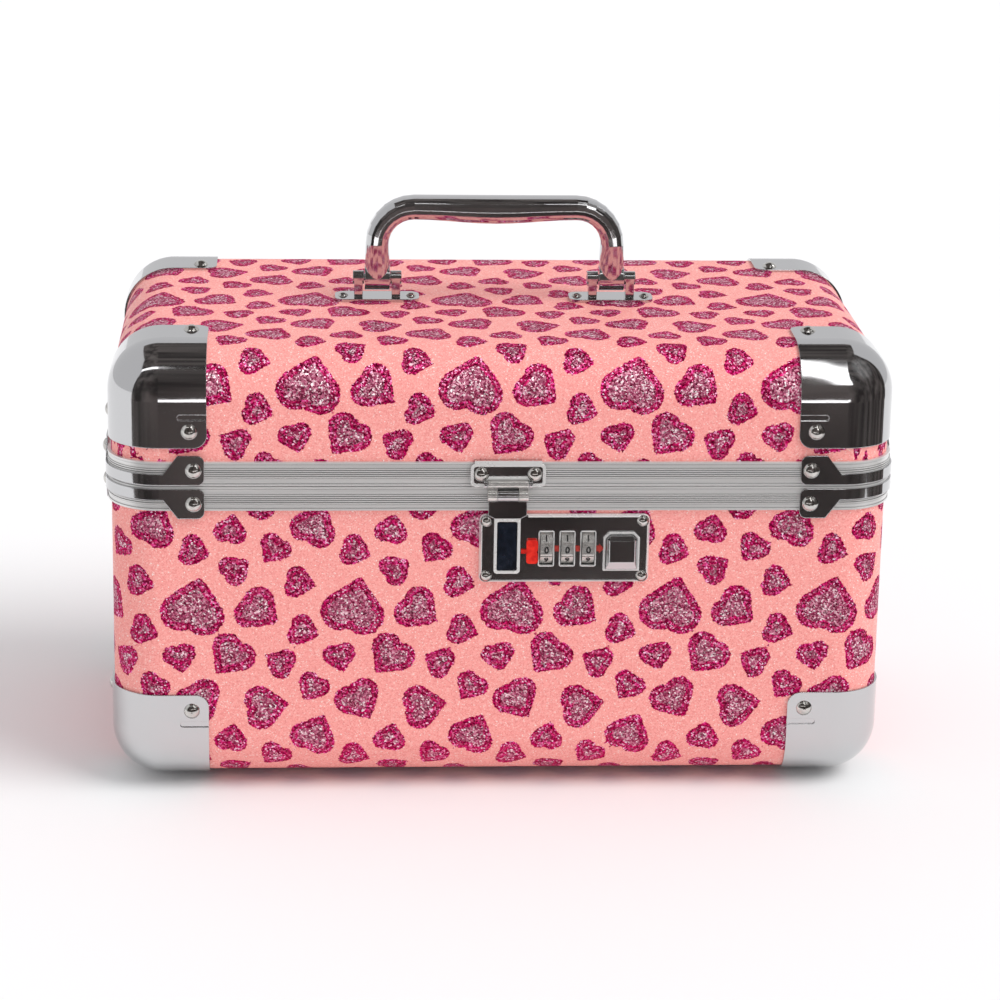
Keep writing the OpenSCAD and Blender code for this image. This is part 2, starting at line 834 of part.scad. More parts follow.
// Ten flats for the numbers and a grip notch between each pair, with a number facing the front
module dial(k) {
    x = lock_x + dial_x + k * dial_pitch - dial_w / 2;
    notch_w = 0.9;
    notch_deep = 0.4;
    color("silver") placed() difference() {
        intersection() {
            along_x(x, dial_y, lock_z, dial_w, dial_d);
            translate([x, dial_y, lock_z]) rotate([0, 90, 0])
                cylinder(r = (dial_d / 2 - dial_flat) / cos(18), h = dial_w, $fn = 10);
        }
        along_x(x - cut, dial_y, lock_z, dial_w + 2 * cut, axle_d + 2 * run);
        for (i = [0:9])
            translate([x - cut, dial_y, lock_z]) rotate([36 * i, 0, 0])
                translate([0, -notch_w / 2, dial_d / 2 - notch_deep])
                    cube([dial_w + 2 * cut, notch_w, cut]);
    }
}

module dial_1() { dial(-1); }
module dial_2() { dial(0); }
module dial_3() { dial(1); }

module reset_lever() {
    lift = 0.2;
    head_t = 1.4;
    lobe_h = lever_h / 2;
    x = lock_x + lever_x;
    color("red") placed() translate([0, lock_face_y - lift, 0]) {
        to_front() linear_extrude(head_t) translate([x, lever_z]) {
            for (s = [-1, 1]) translate([0, s * lobe_h / 2])
                round_rect(lever_w, lobe_h, 1.1);
            square([lever_w - 0.7, lobe_h], center = true);
        }
        to_front() linear_extrude(head_t / 2)
            translate([x - lever_w / 2 - 0.5, lever_z]) square(lever_arm, center = true);
        translate([x - lever_stem_w / 2, 0, lever_z - lever_stem_h / 2])
            cube([lever_stem_w, lock_t + lift + 0.3, lever_stem_h]);
        translate([x - lever_foot[0] / 2, lock_t + lift + 0.3, lever_z - lever_foot[1] / 2])
            cube([lever_foot[0], lever_foot_t, lever_foot[1]]);
    }
}

module lock_button() {
    back = 3;
    shoulder = 2.2;
    stem = [7, 9];
    stem_x = -1.8;
    upper_bevel = 1.5;
    cap_from = button_travel + 0.1;
    color("gainsboro") placed() translate([lock_x + button_x, front_y, button_z]) to_front() {
        translate([stem_x, 0, -back]) linear_extrude(back + cap_from)
            square(stem, center = true);
        translate([0, 0, cap_from]) linear_extrude(lock_t + shoulder - cap_from)
            button_outline(0);
        hull() {
            translate([0, 0, lock_t + shoulder - 0.1]) linear_extrude(0.1) button_outline(0);
            translate([0, (button_bevel - upper_bevel) / 2, lock_t + button_out - 0.35])
                linear_extrude(0.1)
                    square([button_w - 1.8, button_h - button_bevel - upper_bevel + 0.4],
                           center = true);
            translate([0, (button_bevel - upper_bevel) / 2, lock_t + button_out - 0.1])
                linear_extrude(0.1)
                    square([button_w - 2.4, button_h - button_bevel - upper_bevel],
                           center = true);
        }
    }
}

// The bolt is drawn back, just clear of the lug
module lock_bolt() {
    from = hasp_x + lug_w / 2 + 0.3;
    to = lock_x + dial_x + dial_pitch + dial_w / 2 + 3;
    color("silver") placed() {
        translate([from, bolt_y, bolt_z]) cube([to - from, bolt_t, bolt_h]);
        translate([to - bolt_t, bolt_y, bolt_z]) cube([bolt_t, bolt_tab[0], bolt_tab[1]]);
    }
}

// ---------------------------------------------------------------- hinges

module hinge_rivet_places(up) {
    for (s = [-1, 1], u = [-1, 1])
        translate([s * hinge_x + u * (hinge_w / 2 - 4), back_y + clip_out + leaf_t, seam_z + up])
            to_back() children();
}

hinge_rivet_up = (leaf_h + knuckle_r + hinge_part) / 2;

module body_hinge_rivet_places() {
    hinge_rivet_places(-hinge_rivet_up) children();
}

module lid_hinge_rivet_places() {
    hinge_rivet_places(hinge_rivet_up) children();
}

module hinge_leaf_plate(tongue_from, tongue_to) {
    up = knuckle_r + hinge_part;
    translate([-hinge_w / 2, back_y + clip_out, up]) cube([hinge_w, leaf_t, leaf_h - up]);
    translate([tongue_from, back_y + clip_out, 0])
        cube([tongue_to - tongue_from, leaf_t, up + 0.5]);
}

knuckle_mid = hinge_w / 3;

// Room for the knuckles in the rims: the bead along the seam stops on either side of a hinge
module knuckle_space() {
    up = knuckle_r + hinge_part;
    for (s = [-1, 1])
        translate([s * hinge_x - hinge_w / 2 - hinge_part, back_y + frame_t, seam_z - up])
            cube([hinge_w + 2 * hinge_part, knuckle_d, 2 * up]);
}

module hinge_body_leaves() {
    side_l = (hinge_w - knuckle_mid) / 2 - hinge_part;
    color("silver") placed() difference() {
        for (s = [-1, 1]) translate([s * hinge_x, 0, 0])
            for (u = [-1, 1]) {
                from = u < 0 ? -hinge_w / 2 : hinge_w / 2 - side_l;
                translate([0, 0, seam_z]) mirror([0, 0, 1])
                    hinge_leaf_plate(from, from + side_l);
                along_x(from, hinge_y, seam_z, side_l, knuckle_d);
            }
        hinge_pin_hole(fit);
        body_hinge_rivet_places() rivet_hole(leaf_t + cut);
    }
}

module hinge_lid_leaves() {
    color("silver") placed() difference() {
        for (s = [-1, 1]) translate([s * hinge_x, 0, 0]) {
            translate([0, 0, seam_z]) hinge_leaf_plate(-knuckle_mid / 2, knuckle_mid / 2);
            along_x(-knuckle_mid / 2, hinge_y, seam_z, knuckle_mid, knuckle_d);
        }
        hinge_pin_hole(run);
        lid_hinge_rivet_places() rivet_hole(leaf_t + cut);
    }
}

module hinge_pin_hole(gap) {
    for (s = [-1, 1])
        along_x(s * hinge_x - hinge_w / 2 - cut, hinge_y, seam_z, hinge_w + 2 * cut,
                hinge_pin_d + 2 * gap);
}

module hinge_pins() {
    color("gray") placed() for (s = [-1, 1])
        along_x(s * hinge_x - hinge_w / 2, hinge_y, seam_z, hinge_w, hinge_pin_d);
}

module hinge_body_rivets() {
    color("whitesmoke") placed() body_hinge_rivet_places()
        rivet(small_rivet_d, wall_shank(clip_out + leaf_t, body_board_in));
}

module hinge_lid_rivets() {
    color("whitesmoke") placed() lid_hinge_rivet_places()
        rivet(small_rivet_d, wall_shank(clip_out + leaf_t, lid_board_in));
}

// ---------------------------------------------------------------- lid

module lid_holes() {
    translate([0, 0, top_z]) mirror([0, 0, 1]) at_corners()
        cap_rivet_places() rivet_hole(lid_board_in + 2);
    translate([0, 0, seam_z]) at_corners()
        clip_rivet_places() rivet_hole(lid_board_in + clip_out + clip_t);
    lid_hinge_rivet_places() rivet_hole(lid_board_in + leaf_t + clip_out);
    hasp_rivet_places() rivet_hole(lid_board_in + hasp_t + clip_out);
    bracket_rivet_places() rivet_hole(lid_board_in + bracket_t);
}

module lid_covering() {
    color("lightpink") placed() difference() {
        translate([0, 0, top_z]) mirror([0, 0, 1]) tub(0, cover_t, lid_rim_h);
        lid_holes();
    }
}

module lid_board() {
    color("burlywood") placed() difference() {
        translate([0, 0, top_z]) mirror([0, 0, 1]) tub(cover_t, lid_board_in, lid_rim_h);
        lid_holes();
        at_both_sides() lid_plate_rivet_places() rivet_hole(lid_plate_rivet_l);
    }
}

module lid_lining() {
    color("dimgray") placed() difference() {
        translate([0, 0, top_z]) mirror([0, 0, 1]) tub(lid_board_in, lid_in, lid_rim_h);
        at_both_sides() lid_plate_rivet_places() rivet_hole(lid_plate_rivet_l);
    }
}

module lid_frame() {
    color("silver") placed() difference() {
        translate([0, 0, seam_z + seam_gap]) around_case() frame_section(lid_in);
        translate([0, 0, seam_z]) at_corners()
            clip_rivet_places() rivet_hole(clip_out + clip_t + cut);
        lid_hinge_rivet_places() rivet_hole(leaf_t + clip_out + cut);
        knuckle_space();
        hasp_rivet_places() rivet_hole(hasp_t + clip_out + cut);
    }
}

module lid_corner_caps() {
    color("gainsboro") in_lid() at_corners() corner_cap();
}

module lid_cap_rivets() {
    color("whitesmoke") in_lid() at_corners() cap_rivet_places()
        rivet(rivet_d, wall_shank(cap_t, lid_board_in));
}

module lid_corner_clips() {
    color("gainsboro") above_seam() at_corners() corner_clip();
}

module lid_clip_rivets() {
    color("whitesmoke") above_seam() at_corners() clip_rivet_places()
        rivet(rivet_d, wall_shank(clip_out + clip_t, lid_board_in));
}

mirror_edge = 5;
mirror_r = 6;
mirror_rebate = 2;
mirror_frame_t = mirror_t + 1.4;

module mirror_glass() {
    color("lightblue") in_lid() translate([0, 0, lid_in])
        linear_extrude(mirror_t) round_rect(mirror_w, mirror_d, mirror_r);
}

module mirror_frame() {
    g = 2 * shank_gap;
    color("black") in_lid() translate([0, 0, lid_in]) difference() {
        linear_extrude(mirror_frame_t)
            round_rect(mirror_w + 2 * mirror_edge, mirror_d + 2 * mirror_edge,
                       mirror_r + mirror_rebate);
        translate([0, 0, -cut]) linear_extrude(mirror_t + cut)
            round_rect(mirror_w + g, mirror_d + g, mirror_r);
        translate([0, 0, -cut]) linear_extrude(mirror_frame_t + 2 * cut)
            round_rect(mirror_w - 2 * mirror_rebate, mirror_d - 2 * mirror_rebate,
                       mirror_r - mirror_rebate);
    }
}

// ---------------------------------------------------------------- handle

bracket_rivet_out = bracket_l / 2 - 3.2;
barrel_from = leg_w / 2 + leg_gap;
post_w = barrel_w - 1;
bracket_r = 4;

module bracket_rivet_places() {
    for (s = [-1, 1], u = [-1, 1])
        translate([s * handle_span / 2 + u * bracket_rivet_out, 0, top_z + bracket_t])
            children();
}

module handle_brackets() {
    color("gainsboro") placed() difference() {
        for (s = [-1, 1]) translate([s * handle_span / 2, 0, top_z]) {
            linear_extrude(bracket_t) round_rect(bracket_l, bracket_deep, bracket_r);
            for (u = [-1, 1]) {
                from = u < 0 ? -barrel_from - barrel_w : barrel_from;
                along_x(from, 0, pivot_h, barrel_w, barrel_d);
                translate([from + (barrel_w - post_w) / 2, -barrel_d / 2, 0])
                    cube([post_w, barrel_d, pivot_h]);
            }
        }
        handle_pin_solid(handle_pin_d + 2 * fit);
        bracket_rivet_places() rivet_hole(bracket_t + cut);
    }
}

module handle_pin_solid(d) {
    l = 2 * (barrel_from + barrel_w);
    for (s = [-1, 1])
        along_x(s * handle_span / 2 - l / 2, 0, top_z + pivot_h, l, d);
}

module handle_pins() {
    color("silver") placed() handle_pin_solid(handle_pin_d);
}

module bracket_rivets() {
    color("whitesmoke") placed() bracket_rivet_places()
        rivet(small_rivet_d, wall_shank(bracket_t, lid_board_in));
}

// The handle's middle line runs up one leg, round a bend, along the grip and down again.
// Each station gives [x, z, direction, half thickness, half depth].
grip_z = handle_h - grip_end_t / 2;
half_span = handle_span / 2;
bend_steps = 7;
grip_steps = 10;

function blend(a, b, t) = a + (b - a) * t;
function belly(t) = pow(cos(90 * t), 2);

function leg_stations(s) = [
    for (k = [0:2])
        let (t = k / 2)
        [s * half_span, blend(pivot_h, grip_z - bend_r, t), 90,
         blend(leg_w, grip_end_t, t * t) / 2, blend(eye_d, grip_deep - 1, t) / 2]
];

function bend_stations(s) = [
    for (k = [1:bend_steps])
        let (a = 90 * k / bend_steps)
        [s * (half_span - bend_r * (1 - cos(a))), grip_z - bend_r + bend_r * sin(a), 90 - a,
         grip_end_t / 2, blend(grip_deep - 1, grip_deep, k / bend_steps) / 2]
];

function grip_stations() = [
    for (k = [1:grip_steps - 1])
        let (u = 2 * k / grip_steps - 1, extra = (grip_mid_t - grip_end_t) * belly(abs(u)))
        [u * (half_span - bend_r), grip_z - extra / 2, 0,
         (grip_end_t + extra) / 2, grip_deep / 2]
];

function reversed(v) = [for (k = [len(v) - 1:-1:0]) v[k]];

// Direction angles run on the left side from straight up to level, and on from there
function turned(v) = [for (p = v) [p[0], p[1], -p[2], p[3], p[4]]];

handle_stations = concat(
    leg_stations(-1), bend_stations(-1), grip_stations(),
    turned(reversed(bend_stations(1))), turned(reversed(leg_stations(1))));

ring_n = 24;
round_power = 0.75;

function soft(v) = sign(v) * pow(abs(v), round_power);

function ring(p) = [
    for (k = [0:ring_n - 1])
        let (a = 360 * k / ring_n, out = p[3] * soft(cos(a)), deep = p[4] * soft(sin(a)))
        [p[0] - out * sin(p[2]), deep, p[1] + out * cos(p[2])]
];

module handle_sweep() {
    n = len(handle_stations);
    points = [for (p = handle_stations) each ring(p)];
    sides = [
        for (i = [0:n - 2], k = [0:ring_n - 1])
            let (j = (k + 1) % ring_n, a = i * ring_n, b = a + ring_n)
            [a + j, b + j, b + k, a + k]
    ];
    first_end = [for (k = [ring_n - 1:-1:0]) k];
    last_end = [for (k = [0:ring_n - 1]) (n - 1) * ring_n + k];
    polyhedron(points, concat(sides, [first_end, last_end]));
}

module handle() {
    color("gainsboro") placed() translate([0, 0, top_z]) difference() {
        union() {
            handle_sweep();
            for (s = [-1, 1])
                along_x(s * half_span - leg_w / 2, 0, pivot_h, leg_w, eye_d);
        }
        for (s = [-1, 1])
            along_x(s * half_span - leg_w, 0, pivot_h, 2 * leg_w, handle_pin_d + 2 * run);
    }
}

// ---------------------------------------------------------------- hasp

hasp_field_deep = 0.4;
hasp_border = 1.2;
hasp_rivet_out = hasp_plate_w / 2 - hasp_border - 0.1 - hasp_rivet_d / 2;
hasp_plate_y = front_y - clip_out;
hasp_part = 0.2;
hasp_ear_w = 1.3;

module hasp_rivet_places() {
    for (s = [-1, 1])
        translate([hasp_x + s * hasp_rivet_out, hasp_plate_y - hasp_t + hasp_field_deep,
                   seam_z + seam_gap + frame_h * 0.53]) to_front() children();
}

module hasp_plate() {
    notch_w = hasp_barrel_w + 2 * hasp_part;
    notch_top = upper_axis_up + upper_barrel_d / 2 + hasp_part;
    color("gainsboro") placed() translate([hasp_x, 0, 0]) difference() {
        union() {
            translate([0, hasp_plate_y, seam_z + seam_gap + frame_h / 2]) to_front()
                linear_extrude(hasp_t) difference() {
                    round_rect(hasp_plate_w, frame_h - 0.2, 2);
                    translate([-notch_w / 2, -frame_h])
                        square([notch_w, frame_h / 2 + notch_top - seam_gap]);
                }
            translate([-hasp_plate_w / 2 + 1.5, hasp_plate_y - hasp_t,
                       seam_z + seam_gap + frame_h])
                cube([hasp_plate_w - 3, hasp_t + clip_out - 0.1, 0.9]);
            translate([-hasp_plate_w / 2 + 1.5, hasp_plate_y - hasp_t,
                       seam_z + seam_gap + frame_h - 0.5])
                cube([hasp_plate_w - 3, hasp_t, 0.6]);
            for (s = [-1, 1])
                along_x(s * (notch_w + hasp_ear_w) / 2 - hasp_ear_w / 2, upper_axis_y,
                        upper_axis_z, hasp_ear_w, upper_barrel_d);
        }
        translate([0, hasp_plate_y - hasp_t + hasp_field_deep, seam_z + seam_gap + frame_h / 2])
            to_front() linear_extrude(cut) difference() {
                round_rect(hasp_plate_w - 2 * hasp_border, frame_h - 0.2 - 2 * hasp_border, 1);
                translate([-notch_w / 2 - hasp_border, -frame_h])
                    square([notch_w + 2 * hasp_border,
                            frame_h / 2 + notch_top - seam_gap + hasp_border]);
            }
        hasp_pin_solid(upper_axis_y, upper_axis_z, hasp_ear_w, fit);
        translate([-hasp_x, 0, 0]) hasp_rivet_places() {
            rivet_hole(hasp_t + cut);
            cylinder(d = hasp_rivet_d + 2 * head_seat_gap, h = cut);
        }
    }
}

module hasp_pin_solid(y, z, ear, gap) {
    l = hasp_barrel_w + 2 * ear;
    along_x(-l / 2, y, z, l, hasp_pin_d + 2 * gap);
}

module hasp_rivets() {
    color("whitesmoke") placed() hasp_rivet_places()
        rivet(hasp_rivet_d, wall_shank(clip_out + hasp_t - hasp_field_deep, lid_board_in));
}

module hasp_upper_pin() {
    color("silver") placed() translate([hasp_x, 0, 0])
        hasp_pin_solid(upper_axis_y, upper_axis_z, hasp_ear_w, 0);
}

module hasp_lower_pin() {
    color("silver") placed() translate([hasp_x, 0, 0])
        hasp_pin_solid(lower_axis_y, lower_axis_z, 0, 0);
}

module hasp_link() {
    side_w = (hasp_barrel_w - hasp_knuckle_w) / 2 - hasp_part;
    color("gainsboro") placed() translate([hasp_x, 0, 0]) difference() {
        union() {
            along_x(-hasp_barrel_w / 2, upper_axis_y, upper_axis_z, hasp_barrel_w,
                    upper_barrel_d);
            for (s = [-1, 1]) {
                from = s < 0 ? -hasp_barrel_w / 2 : hasp_barrel_w / 2 - side_w;
                along_x(from, lower_axis_y, lower_axis_z, side_w, lower_barrel_d);
                translate([from, lower_axis_y - 0.6, lower_axis_z])
                    cube([side_w, 1.2, upper_axis_z - lower_axis_z]);
            }
        }
        hasp_pin_solid(upper_axis_y, upper_axis_z, cut, run);
        hasp_pin_solid(lower_axis_y, lower_axis_z, cut, fit);
    }
}

module hasp_tongue() {
    band_w = hasp_barrel_w - 0.8;
    band_from = lower_axis_down + lower_barrel_d / 2 + 0.4;
    band_to = 11;
    shoulder_h = 1.2;
    front = tongue_back_y - hasp_t - 0.2;
    thick = tongue_back_y - front;
    color("gainsboro") placed() translate([hasp_x, 0, 0]) difference() {
        union() {
            along_x(-hasp_knuckle_w / 2, lower_axis_y, lower_axis_z, hasp_knuckle_w,
                    lower_barrel_d);
            translate([-hasp_knuckle_w / 2, front, seam_z - band_from - 1])
                cube([hasp_knuckle_w, thick, band_from + 1 - lower_axis_down]);
            translate([-band_w / 2, front, seam_z - band_to])
                cube([band_w, thick, band_to - band_from]);
            translate([0, tongue_back_y, seam_z - (tongue_down + band_to) / 2]) to_front()
                linear_extrude(thick) round_rect(tongue_w, tongue_down - band_to, 1.4);
            translate([0, tongue_back_y, seam_z - band_to]) to_front() linear_extrude(thick)
                polygon([[-band_w / 2, 0], [-tongue_w / 2, -shoulder_h], [tongue_w / 2, -shoulder_h],
                         [band_w / 2, 0]]);
            translate([-lug_w / 2, tongue_back_y - 0.1, lug_z])
                cube([lug_w, lug_l + 0.1, lug_h]);
        }
        translate([0, front + 0.4, seam_z - (tongue_down + band_to + shoulder_h) / 2]) to_front()
            linear_extrude(cut)
                round_rect(tongue_w - 2.2, tongue_down - band_to - shoulder_h - 2.2, 0.8);
        hasp_pin_solid(lower_axis_y, lower_axis_z, cut, run);
    }
}

// ---------------------------------------------------------------- trays and arms

wall_plate = [27, 30];
wall_plate_r = 5;
wall_rivet_at = [9, 11];
wall_plate_at = wall_pivot + short_offset / 2;
wall_rivet_l = plate_t + lining_t + body_board_t - 0.5;

module wall_rivet_places() {
    for (p = [-wall_rivet_at, wall_rivet_at])
        let (q = side_point(wall_plate_at + p))
        translate([wall_plate_x, q[0], q[1]]) rotate([0, -90, 0]) children();
}

module wall_brackets() {
    color("silver") placed() at_both_sides() difference() {
        side_plate(wall_plate_x, plate_t)
            translate(side_point(wall_plate_at)) round_rect(wall_plate[0], wall_plate[1], wall_plate_r);
        for (p = [wall_pivot, short_wall_pivot]) stud_hole(p, wall_plate_x - cut, 3, fit);
        wall_rivet_places() rivet_hole(plate_t + cut);
    }
}

module stud_hole(p, x, l, gap) {
    q = side_point(p);
    along_x(x, q[0], q[1], l, tray_pin_d + 2 * gap);
}

module flush_rivet(l) {
    translate([0, 0, -l + 0.2]) cylinder(r = shank_r, h = l - 0.2);
}

module wall_bracket_rivets() {
    color("gray") placed() at_both_sides() wall_rivet_places() flush_rivet(wall_rivet_l);
}

// A wall stud has its head inside the arm and a washer between the arm and the bracket
module wall_studs() {
    color("gray") placed() at_both_sides()
        for (p = [wall_pivot, short_wall_pivot]) let (q = side_point(p)) {
            from = arm_x - head_gap - stud_head_t;
            along_x(from, q[0], q[1], stud_head_t, 2 * stud_head_r);
            along_x(from, q[0], q[1], wall_x - from - 0.1, tray_pin_d);
            along_x(arm_x + arm_t + head_gap, q[0], q[1], arm_gap - head_gap,
                    2 * stud_head_r);
        }
}

// A tray stud has a head inside the tray and a shoulder between the tray and the arm
module tray_studs(points) {
    color("gray") placed() at_both_sides()
        for (p = points) let (q = side_point(p)) {
            along_x(tray_x - tray_t - 0.8, q[0], q[1], 0.8, 2 * stud_head_r);
            along_x(tray_x - tray_t - 0.8, q[0], q[1],
                    arm_x + arm_t - tray_x + tray_t + 0.8, tray_pin_d);
            along_x(tray_x, q[0], q[1], arm_x - head_gap - tray_x, 2 * stud_head_r);
        }
}

module upper_tray_studs() { tray_studs([upper_pivot]); }
module lower_tray_studs() { tray_studs([elbow, short_tray_pivot]); }

module arm_bores(points) {
    for (p = points) stud_hole(p, arm_x - cut, arm_t + 2 * cut, run);
}

module main_arms() {
    color("silver") placed() at_both_sides() difference() {
        side_plate(arm_x, arm_t)
            link([for (p = [wall_pivot, elbow, upper_pivot]) side_point(p)], arm_w);
        arm_bores([wall_pivot, elbow, upper_pivot]);
    }
}

module short_arms() {
    color("silver") placed() at_both_sides() difference() {
        side_plate(arm_x, arm_t)
            link([for (p = [short_wall_pivot, short_tray_pivot]) side_point(p)], short_arm_w);
        arm_bores([short_wall_pivot, short_tray_pivot]);
    }
}

// An open tray with one long partition and cross partitions in the row behind it
partition_down = 6;

module tray(floor_up, pivots, cells) {
    w = 2 * tray_x;
    d = tray_front - tray_back;
    mid_y = hinge_y - (tray_front + tray_back) / 2;
    part_h = tray_h - partition_down;
    inner_w = w - 2 * tray_t;
    row_y = d / 2 - tray_t - back_row;
    color("dimgray") placed() difference() {
        translate([0, mid_y, seam_z + floor_up]) {
            linear_extrude(tray_t) round_rect(w, d, tray_r);
            linear_extrude(tray_h) difference() {
                round_rect(w, d, tray_r);
                round_rect(w - 2 * tray_t, d - 2 * tray_t, tray_r - tray_t);
            }
            translate([-inner_w / 2, row_y - tray_t, tray_t / 2])
                cube([inner_w, tray_t, part_h]);
            for (k = [1:cells - 1])
                translate([-inner_w / 2 + k * inner_w / cells - tray_t / 2, row_y - tray_t / 2,
                           tray_t / 2])
                    cube([tray_t, back_row - tray_t / 2, part_h]);
        }
        at_both_sides() for (p = pivots) stud_hole(p, tray_x - 3 * tray_t, 4 * tray_t, run);
    }
}

module upper_tray() { tray(upper_floor, [upper_pivot, lid_pivot], 4); }
module lower_tray() { tray(lower_floor, [elbow, short_tray_pivot], 3); }

lid_plate = [22, 19];
lid_plate_rivet_at = [7, 5];
lid_plate_at = lid_pivot + [0, lid_plate[1] / 2 - 2];
lid_plate_rivet_l = plate_t + lining_t + lid_board_t - 0.5;

module lid_plate_rivet_places() {
    for (u = [-1, 1])
        let (q = side_point(lid_plate_at + [u * lid_plate_rivet_at[0], lid_plate_rivet_at[1]]))
        translate([lid_plate_x, q[0], q[1]]) rotate([0, -90, 0]) children();
}

// The lid brackets carry the upper tray's back pivots
module lid_tray_brackets() {
    q = side_point(lid_pivot);
    color("silver") placed() at_both_sides() difference() {
        union() {
            side_plate(lid_plate_x, plate_t)
                translate(side_point(lid_plate_at)) round_rect(lid_plate[0], lid_plate[1], 2);
            along_x(tray_x - tray_t - 0.8, q[0], q[1], lid_plate_x - tray_x + tray_t + 1,
                    tray_pin_d);
            along_x(tray_x + 0.4, q[0], q[1], lid_plate_x - tray_x - 0.35, 2 * stud_head_r);
        }
        lid_plate_rivet_places() rivet_hole(plate_t + cut);
    }
}

module lid_bracket_rivets() {
    color("gray") placed() at_both_sides() lid_plate_rivet_places()
        flush_rivet(lid_plate_rivet_l);
}

// ---------------------------------------------------------------- nodes

body_covering();
body_board();
body_lining();
body_frame();
body_corner_caps();
body_cap_rivets();
body_corner_clips();
body_clip_rivets();
feet();
lock_plate();
lock_case();
lock_rivets();
dial_axle();
dial_1();
dial_2();
dial_3();
reset_lever();
lock_button();
lock_bolt();
wall_brackets();
wall_bracket_rivets();
wall_studs();
hinge_body_leaves();
hinge_lid_leaves();
hinge_pins();
hinge_body_rivets();
hinge_lid_rivets();
lid_covering();
lid_board();
lid_lining();
lid_frame();
lid_corner_caps();
lid_cap_rivets();
lid_corner_clips();
lid_clip_rivets();
mirror_glass();
mirror_frame();
lid_tray_brackets();
lid_bracket_rivets();
handle_brackets();
handle_pins();
bracket_rivets();
handle();
hasp_plate();
hasp_rivets();
hasp_upper_pin();
hasp_link();
hasp_lower_pin();
hasp_tongue();
main_arms();
short_arms();
upper_tray();
upper_tray_studs();
lower_tray();
lower_tray_studs();
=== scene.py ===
# %% [markdown]
# # A makeup train case
# This lesson dresses a rounded case: glitter film with a heart print on board, reeded aluminium
# rims, pressed chrome corners, a cast handle, a jointed hasp over a number lock, and two trays
# that the lid lifts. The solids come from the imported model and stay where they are. What is
# made here is the skin with its print, the paint and numbers on the lock, the finishes, the
# light and the camera.

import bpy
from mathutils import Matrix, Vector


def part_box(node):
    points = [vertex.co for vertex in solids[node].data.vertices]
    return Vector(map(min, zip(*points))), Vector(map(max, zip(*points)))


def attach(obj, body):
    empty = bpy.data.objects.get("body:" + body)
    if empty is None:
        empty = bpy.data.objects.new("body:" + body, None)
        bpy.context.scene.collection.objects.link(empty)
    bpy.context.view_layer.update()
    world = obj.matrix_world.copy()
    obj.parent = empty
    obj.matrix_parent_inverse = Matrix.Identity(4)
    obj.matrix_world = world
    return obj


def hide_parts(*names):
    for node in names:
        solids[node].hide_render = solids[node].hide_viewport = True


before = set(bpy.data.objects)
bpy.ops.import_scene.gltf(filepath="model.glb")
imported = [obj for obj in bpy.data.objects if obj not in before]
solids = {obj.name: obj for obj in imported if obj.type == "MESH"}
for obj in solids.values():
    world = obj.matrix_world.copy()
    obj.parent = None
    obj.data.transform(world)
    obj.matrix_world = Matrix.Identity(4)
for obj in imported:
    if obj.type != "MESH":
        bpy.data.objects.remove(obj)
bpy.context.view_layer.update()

# %% [markdown]
# The case's sizes below are real ones in millimetres, and one factor turns them into Blender's
# metres. Only the studio round it is laid out in metres from the start. Colours are picked as
# sRGB hex values, the way a paint chart or a screen shows them, and a shader wants linear
# light, so one function turns them.

# %% Units and colours
import math

import bpy
import bmesh
import numpy as np
from mathutils import Matrix, Vector

MM = 0.001


def linear(hex_colour):
    """An sRGB hex colour as linear red, green, blue and alpha."""
    parts = [int(hex_colour[k:k + 2], 16) / 255 for k in (1, 3, 5)]
    return (*[p / 12.92 if p <= 0.04045 else ((p + 0.055) / 1.055) ** 2.4 for p in parts], 1)


print("salmon in linear light:", [round(v, 3) for v in linear("#f7a8a0")])

# %% [markdown]
# The camera stands a little left of the middle and above the lid, and looks down on it with a
# long lens. Its place and angles were worked out from the case's own corners. A camera looks
# along its own -Z, so its matrix is built from three axes.

# %% Camera
camera_at = Vector((-72.1, -1197.6, 481.6)) * MM
turn, tip, roll = 0.0627, 0.2753, 0.0183
ahead = Vector((math.sin(turn) * math.cos(tip), math.cos(turn) * math.cos(tip), -math.sin(tip)))
right = Vector((math.cos(turn), -math.sin(turn), 0))
up = right.cross(ahead)
right, up = (math.cos(roll) * right + math.sin(roll) * up,
             math.cos(roll) * up - math.sin(roll) * right)
lens = bpy.data.cameras.new("camera")
lens.sensor_width, lens.lens, lens.shift_y = 36, 111.3, -0.12
camera = bpy.data.objects.new("camera", lens)
axes = Matrix((right, up, -ahead)).transposed()
camera.matrix_world = Matrix.Translation(camera_at) @ axes.to_4x4()
bpy.context.scene.collection.objects.link(camera)
bpy.context.scene.camera = camera

# %% [markdown]
# Materials are small graphs of nodes. One function adds a node, sets what it needs and joins
# it to the nodes before it, and every finish below is written with it.

# %% A node with its settings and links
def add_node(tree, kind, inputs=None, **settings):
    """Adds a node. Inputs are given by name or number, as a value or as a socket to link."""
    node = tree.nodes.new(kind)
    for name, value in settings.items():
        setattr(node, name, value)
    for name, value in (inputs or {}).items():
        if isinstance(value, bpy.types.NodeSocket):
            tree.links.new(value, node.inputs[name])
        else:
            node.inputs[name].default_value = value
    return node


def start_finish(name, **constants):
    """A new material, its tree and its shader with the values that hold all over."""
    material = bpy.data.materials.new(name)
    material.use_nodes = True
    tree = material.node_tree
    shader = tree.nodes["Principled BSDF"]
    for socket, value in constants.items():
        shader.inputs[socket.replace("_", " ")].default_value = value
    return material, tree, shader


def set_ramp(node, stops):
    """Fills a Color Ramp from pairs of place and hex colour."""
    elements = node.color_ramp.elements
    elements.remove(elements[1])
    elements[0].position, elements[0].color = stops[0][0], linear(stops[0][1])
    for place, colour in stops[1:]:
        elements.new(place).color = linear(colour)


print("helpers ready")

